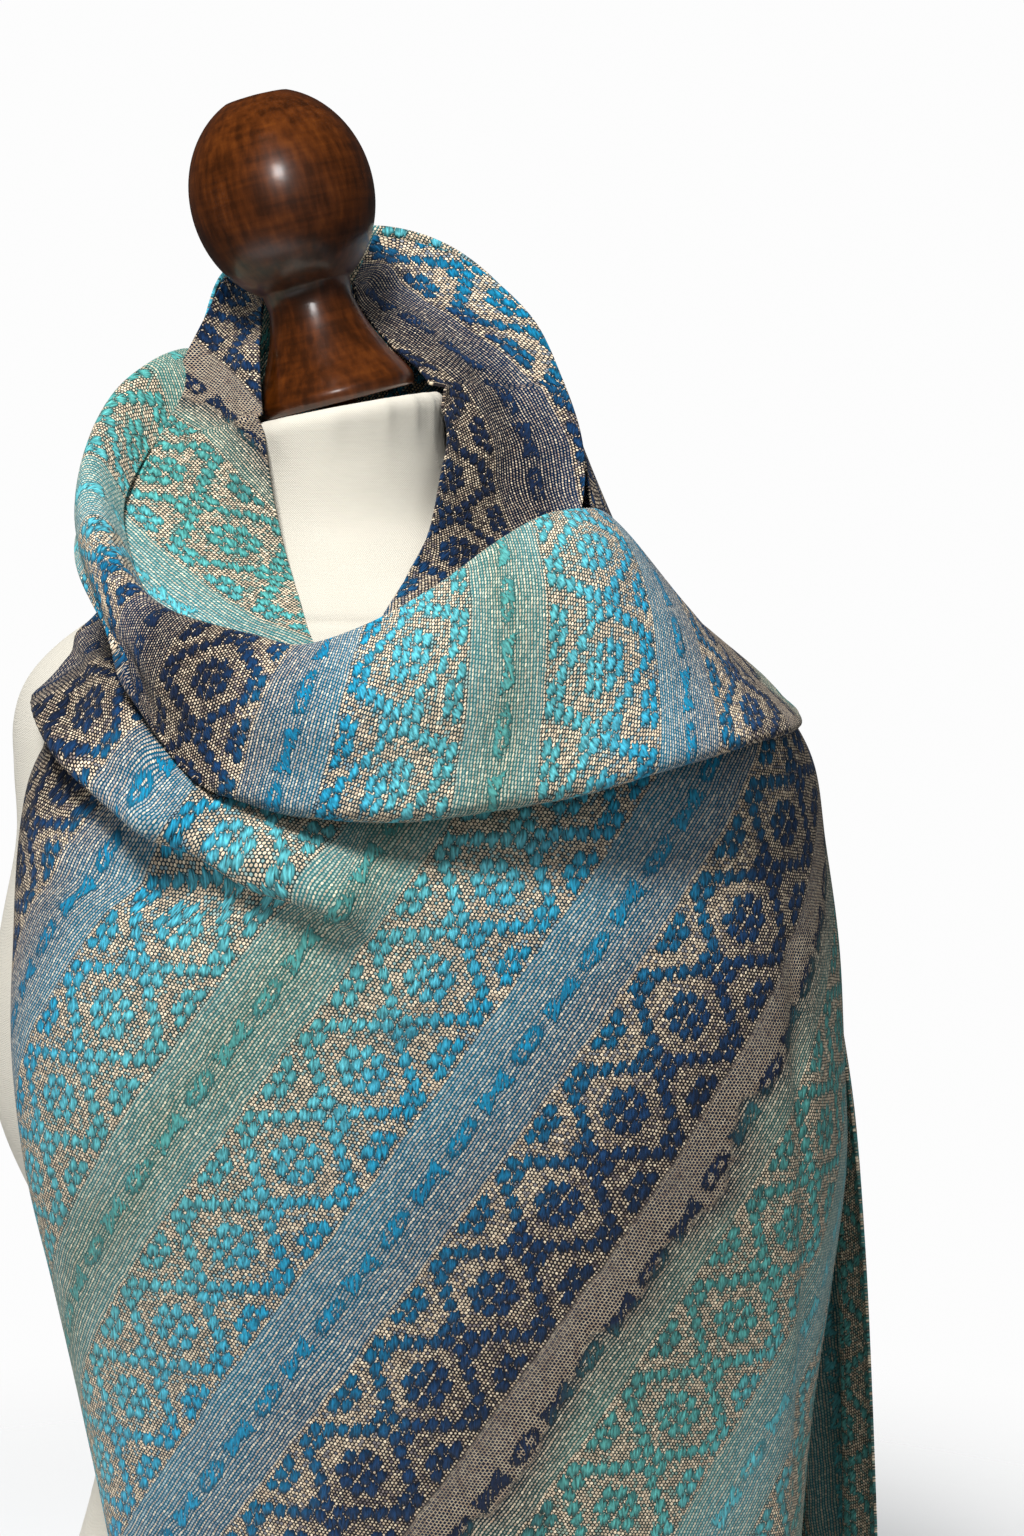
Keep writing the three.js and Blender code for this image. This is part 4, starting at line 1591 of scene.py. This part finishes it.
def near_side(form: DressForm, layers: Layers) -> LoopSide:
    """Sets out the inside of the loop on the near side of the finial.

    Args:
        form: The form that it rests on.
        layers: The cloths laid before it.

    Returns:
        The stretch.
    """
    rows = [
        [4, 42, 806, 16, 58, 838, 2],
        [7, 26, 811, 44, 56, 832, 4],
        [11, 17, 798, 70, 48, 820, 6],
        [27, 3, 779, 97, 29, 794, 8],
        [44, -7, 763, 111, 13, 765, 10],
        [55, -24, 738, 121, 0, 734, 12],
        [52, -46, 712, 122, -12, 706, 12],
        [47, -63, 687, 114, -42, 676, 11],
        [37, -81, 667, 116, -66, 671, 8],
        [28, -95, 648, 107, -94, 670, 5],
        [18, -105, 628, 90, -116, 664, 3],
    ]
    return LoopSide(
        form, layers, "near_side_of_loop", "neck_right", flat=(0.29, 0.07),
        creases=(
            Crease(((6, 4), (24, 14), (30, 34)), 5, -3, -1.5),
            Crease(((96, 30), (112, 44), (120, 66)), 5, -2.4, -1),
            Crease(((50, 20), (130, 24), (200, 20)), 9, 2.4, 1),
            Crease(((120, 40), (190, 46)), 7, -2, -1),
        ),
        table=Stations(LOOP_COLUMNS, rows),
        across_from=-270, across_lean=0.35, across_way=-1.0, along_from=10,
    )


@dataclass
class NeckBack(Cloth):
    """The outside of the loop behind the neck, from its top down to the back."""

    name: str = "back_of_loop"
    node: str = "neck_back"
    counts: tuple[int, int] = (200, 100)
    flat: tuple[float, float] = (0.37, 0.2)
    centre: tuple[float, float] = (20.0, -30.0)
    table: Stations = field(default_factory=lambda: Stations(
        "top_across top_deep top_up low_across low_deep low_up belly", [
            [-68, 26, 792, -104, 64, 655, 3],
            [-60, 46, 818, -80, 98, 632, 9],
            [-38, 60, 834, -42, 124, 612, 15],
            [-7, 67, 842, 2, 130, 600, 18],
            [24, 67, 843, 50, 130, 596, 18],
            [54, 61, 833, 96, 122, 598, 15],
            [80, 48, 812, 136, 104, 604, 10],
            [99, 33, 784, 164, 76, 610, 5],
            [113, 17, 754, 177, 44, 607, 0],
            [122, 4, 724, 184, 10, 609, -2],
            [126, -4, 698, 184, -24, 611, -3],
        ]))

    def surface(self, u: np.ndarray, v: np.ndarray) -> np.ndarray:
        """Gives the middle of the cloth: a skirt that stands out between its two edges.

        Args:
            u: Share of the way round the back, one for each place.
            v: Share of the way down it.

        Returns:
            The places of the cloth's middle.
        """
        row = self.table.at(u)
        out_x, out_y = row["low_across"] - self.centre[0], row["low_deep"] - self.centre[1]
        reach = np.hypot(out_x, out_y)
        belly = row["belly"] * np.sin(math.pi * v)
        places = np.stack([
            row["top_across"] + (row["low_across"] - row["top_across"]) * v + out_x / reach * belly,
            row["top_deep"] + (row["low_deep"] - row["top_deep"]) * v + out_y / reach * belly,
            row["top_up"] + (row["low_up"] - row["top_up"]) * v ** 0.9,
        ], -1)
        return self.layers.cleared(self.form.cleared(places))

    def crease_place(self, grid: np.ndarray) -> tuple[np.ndarray, np.ndarray]:
        """Draws the creases by distance round the back and down it."""
        return run_length(grid, 0), run_length(grid, 1)

    def weave(self, grid: np.ndarray) -> np.ndarray:
        """Lays the stripes slantwise over the back."""
        x, y = run_length(grid, 0) - 190, run_length(grid, 1)
        return np.stack([x * 0.8 + y * 0.5 + 20, x * 0.5 - y * 0.8], -1)


@dataclass
class Cowl(Cloth):
    """The loose swag across the front of the neck, with its rolled top and tucked foot."""

    name: str = "swag"
    node: str = "cowl"
    counts: tuple[int, int] = (250, 110)
    flat: tuple[float, float] = (0.58, 0.14)
    rests_on: tuple[str, ...] = ("front_end",)
    roll_radius: float = 7.0
    lip_in: float = 17.0
    lip_drop: float = 14.0
    tuck: float = 13.0
    foot_bulge: float = 11.0
    pinned_station: float = 15.9
    weave_stretch: float = 1.08
    weave_slant: float = 0.42
    centre: tuple[float, float] = (10.0, 0.0)
    table: Stations = field(default_factory=lambda: Stations(
        "roll_across roll_deep roll_up foot_across foot_deep foot_up belly lip tuck", [
            [-73, 32, 777, -106, 78, 652, 6, 0.5, 0.3],
            [-81, 20, 776, -117, 54, 658, 5, 0.8, 0.4],
            [-92, 4, 770, -117, 24, 672, 4, 1.15, 0.6],
            [-106, -9, 757, -118, -4, 686, 5, 1.35, 0.8],
            [-115, -28, 736, -117, -30, 680, 6, 1.2, 1],
            [-117, -48, 711, -112, -58, 664, 7, 1, 1],
            [-108, -70, 684, -96, -86, 638, 8, 1, 1],
            [-93, -90, 663, -83, -107, 612, 9, 1, 1],
            [-74, -107, 651, -71, -124, 592, 10, 1, 1],
            [-54, -119, 645, -53, -139, 573, 12, 1, 1],
            [-31, -132, 640, -29, -151, 567, 13, 1, 1],
            [-8, -143, 636, -4, -161, 563, 14, 1, 1],
            [23, -148, 646, 37, -169, 562, 15, 1, 1],
            [54, -148, 663, 81, -173, 568, 15, 1, 1],
            [81, -142, 682, 117, -173, 575, 15, 1, 1],
            [103, -129, 694, 148, -169, 584, 15, 1, 1],
            [122, -104, 697, 171, -160, 590, 13, 1, 1],
            [130, -76, 696, 192, -146, 595, 9, 1, 0.8],
            [132, -50, 693, 210, -120, 597, 4, 1, 0.5],
            [131, -26, 692, 220, -84, 598, 0, 0.7, 0.3],
            [130, -4, 695, 222, -46, 600, -3, 0.3, 0.3],
        ]))
    creases: tuple[Crease, ...] = (
        Crease(((175, 70), (215, 110), (262, 126)), 9, 3.5, 1.5),
        Crease(((205, 60), (240, 96), (275, 112)), 9, -3.0, -1),
        Crease(((300, 60), (380, 72), (470, 60)), 22, 2.5, 1.5),
    )

    def surface(self, u: np.ndarray, v: np.ndarray) -> np.ndarray:
        """Gives the middle of the cloth: lip, roll, belly, foot and tuck at each station.

        Args:
            u: Share of the way round the front, one for each place.
            v: Share of the way from the lip to the tuck.

        Returns:
            The places of the cloth's middle.
        """
        row = self.table.at(u)
        roll = np.stack([row["roll_across"], row["roll_deep"], row["roll_up"]], -1)
        foot = np.stack([row["foot_across"], row["foot_deep"], row["foot_up"]], -1)
        out = roll[:, :2] - self.centre
        out = np.pad(out / np.linalg.norm(out, axis=1)[:, None], ((0, 0), (0, 1)))
        low = (out + [0, -1, 0]) / 2
        low = low / np.linalg.norm(low, axis=1)[:, None]
        lip, tuck, belly = (row[name][:, None] for name in ("lip", "tuck", "belly"))
        lift = np.array([0.0, 0.0, 1.0])

        def face(share: float, full: float) -> np.ndarray:
            """Gives a place down the face, with its share of the belly."""
            return roll + (foot - roll) * share + out * belly * full

        controls = np.stack([
            roll - out * lip * self.lip_in - lift * lip * self.lip_drop,
            roll - out * lip * 0.65 * self.lip_in - lift * lip * 0.4 * self.lip_drop,
            roll - out * lip * 0.3 * self.lip_in,
            roll + out * 0.15 * self.roll_radius,
            face(0.14, 0.75),
            face(0.42, 1.05),
            face(0.72, 0.85),
            foot + low * self.foot_bulge * tuck * tuck + lift * 3,
            foot - low * 3 * tuck - lift * 1,
            foot - low * self.tuck * tuck + lift * 7 * tuck,
        ])
        places = through_each(controls, v)
        return self.layers.cleared(self.form.cleared(places))

    def crease_place(self, grid: np.ndarray) -> tuple[np.ndarray, np.ndarray]:
        """Draws the creases by distance round the swag and down its face from the lip.

        Args:
            grid: The cloth's middle.

        Returns:
            The two distances, in millimetres.
        """
        middle = run_length(grid, 0)[:, grid.shape[1] // 2][:, None]
        down = run_length(grid, 1)
        return middle + 0 * down, down

    def weave(self, grid: np.ndarray) -> np.ndarray:
        """Runs the stripes down the swag, slanting a little towards its far end.

        Args:
            grid: The cloth's middle.

        Returns:
            Places across the stripes and along them.
        """
        middle = run_length(grid, 0)[:, grid.shape[1] // 2][:, None]
        down = run_length(grid, 1)
        top = int(self.counts[1] * 3 / 9)
        below = down - down[:, top][:, None]
        pinned_share = self.pinned_station / (len(self.table.rows) - 1)
        pinned = np.interp(pinned_share, np.linspace(0, 1, len(middle)), middle[:, 0])
        across = (middle - pinned) * self.weave_stretch + self.weave_slant * (below - 24) + 20
        return np.stack([across, 27 - below + 0 * middle], -1)


def through_each(controls: np.ndarray, place: np.ndarray) -> np.ndarray:
    """Runs a curve through each point's own row of controls.

    Args:
        controls: Places, first by their order along the curve and then by point.
        place: Where to read each point's curve, 0 to 1.

    Returns:
        One place for each point.
    """
    last = len(controls) - 1
    x = np.clip(place, 0, 1) * last
    i = np.minimum(np.floor(x).astype(int), last - 1)
    padded = np.concatenate([[2 * controls[0] - controls[1]], controls, [2 * controls[-1] - controls[-2]]])
    point = np.arange(len(place))
    before, start, end, after = (padded[i + k, point] for k in range(4))
    return hermite(start, end, (end - before) / 2, (after - start) / 2, (x - i)[:, None])


# ---------------------------------------------------------------- studio
@dataclass
class Studio:
    """Pale floor, soft light and the camera."""

    distance: float = 1.5
    focal: float = 70.31
    sensor: float = 36.0
    elevation: float = math.radians(5)
    aim: Place = (86.6, 0.0, 569.5)
    lamps_aim: Place = (0.0, 0.0, 0.55)
    floor_side: float = 40.0
    floor_drop: float = 0.0005
    floor_shown: float = 0.4
    floor_gone: float = 1.0
    sky_colour: Colour = (0.88, 0.95, 1.0)
    sky_power: float = 0.17
    mirrored_power: float = 0.03
    backdrop_power: float = 0.98

    def camera(self) -> None:
        """Sets the camera square to the swag, a little above it."""
        aim = np.array(self.aim)
        back = np.array([0, -math.cos(self.elevation), math.sin(self.elevation)]) * self.distance / MILLIMETRE
        eye, target = (Vector(turned(p) * MILLIMETRE) for p in (aim + back, aim))
        data = bpy.data.cameras.new("studio_camera")
        data.lens, data.sensor_width = self.focal, self.sensor
        data.clip_start, data.clip_end = 0.05, 50.0
        camera = bpy.data.objects.new("studio_camera", data)
        camera.location = eye
        camera.rotation_euler = (target - eye).to_track_quat("-Z", "Y").to_euler()
        bpy.context.scene.collection.objects.link(camera)
        bpy.context.scene.camera = camera

    def lamp(self, name: str, place: Place, size: float, power: float, mirrored: bool = False) -> None:
        """Hangs a soft square lamp that faces the object, at a place in the drape frame.

        Args:
            name: Its name.
            place: Where it hangs, in metres.
            size: Its side, in metres.
            power: Its power in watts.
            mirrored: Whether it is only mirrored in gloss, or else only lights the surfaces.
        """
        data = bpy.data.lights.new(name, "AREA")
        data.size, data.energy = size, power
        lamp = bpy.data.objects.new(name, data)
        lamp.visible_glossy, lamp.visible_diffuse = mirrored, not mirrored
        lamp.location = Vector(turned(np.array(place)))
        aim = Vector(self.lamps_aim)
        lamp.rotation_euler = (aim - lamp.location).to_track_quat("-Z", "Y").to_euler()
        bpy.context.scene.collection.objects.link(lamp)

    def floor(self) -> None:
        """Lays the pale floor, which fades away round the object."""
        bpy.ops.mesh.primitive_plane_add(size=self.floor_side, location=(0, 0, -self.floor_drop))
        floor = bpy.context.object
        floor.name = "floor"
        n = NodeSheet("pale_floor")
        place = n.add("ShaderNodeTexCoord").outputs["Object"]
        tone = n.mix(n.noise(place, 3.0), (0.9, 0.9, 0.9, 1), (0.94, 0.94, 0.94, 1))
        n.feed(n.surface.inputs["Base Color"], tone)
        n.surface.inputs["Roughness"].default_value = 0.9
        reach = n.add("ShaderNodeVectorMath", operation="LENGTH")
        n.feed(reach.inputs[0], place)
        n.feed(n.surface.inputs["Alpha"], n.step(reach.outputs["Value"], self.floor_gone, self.floor_shown))
        floor.data.materials.append(n.material)

    def sky(self) -> None:
        """Sets a soft sky that is dim in gloss and white where the camera sees it."""
        world = bpy.data.worlds.new("studio")
        world.use_nodes = True
        tree = world.node_tree
        soft = tree.nodes["Background"]
        dim, backdrop = (tree.nodes.new("ShaderNodeBackground") for _ in range(2))
        white = (1.0, 1.0, 1.0)
        for node, colour, power in (
            (soft, self.sky_colour, self.sky_power),
            (dim, white, self.mirrored_power),
            (backdrop, white, self.backdrop_power),
        ):
            node.inputs["Color"].default_value = (*colour, 1.0)
            node.inputs["Strength"].default_value = power
        ray = tree.nodes.new("ShaderNodeLightPath")
        shown = soft.outputs[0]
        for kind, other in (("Is Glossy Ray", dim), ("Is Camera Ray", backdrop)):
            choice = tree.nodes.new("ShaderNodeMixShader")
            for socket, source in zip(choice.inputs, (ray.outputs[kind], shown, other.outputs[0])):
                tree.links.new(source, socket)
            shown = choice.outputs[0]
        tree.links.new(shown, tree.nodes["World Output"].inputs["Surface"])
        bpy.context.scene.world = world
        bpy.context.scene.view_settings.view_transform = "Standard"

    def build(self) -> None:
        """Sets up the whole studio."""
        self.camera()
        self.floor()
        self.sky()
        self.lamp("key", (-0.35, -1.15, 2.2), 0.5, 62.0)
        self.lamp("fill", (1.3, -1.5, 1.0), 1.2, 6.0)
        self.lamp("top", (0.2, 0.5, 2.4), 1.4, 12.0)
        self.lamp("side", (-1.9, -0.3, 0.5), 1.0, 12.0)
        self.lamp("front", (0.0, -1.7, 1.42), 0.32, 9.0, mirrored=True)


# ---------------------------------------------------------------- the whole scene
def main() -> None:
    """Builds the form, the finial, the shawl and the studio."""
    logging.basicConfig(level=logging.INFO, format="%(message)s")
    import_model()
    drop_selection()
    Studio().build()
    drop_selection()
    form, layers = DressForm(), Layers()
    cloth = WovenPattern().make()
    pieces = [
        form.build(LinenCover().make()),
        TurnedFinial().build(VarnishedWood().make()),
    ]
    front = FrontSheet(form, layers)
    pieces.append(front.build(cloth))
    layers.lay(front.grid(48, 48))
    tail = BackTail(form, layers)
    pieces.append(tail.build(cloth))
    layers.lay(tail.grid(56, 42))
    pieces.append(far_side(form, layers).build(cloth))
    pieces.append(near_side(form, layers).build(cloth))
    back = NeckBack(form, layers)
    pieces.append(back.build(cloth))
    layers.lay(back.grid(40, 24))
    pieces.append(Cowl(form, layers).build(cloth))
    for piece in pieces:
        log.info("built %s with %d faces", piece.name, len(piece.data.polygons))


if __name__ == "__main__":
    main()
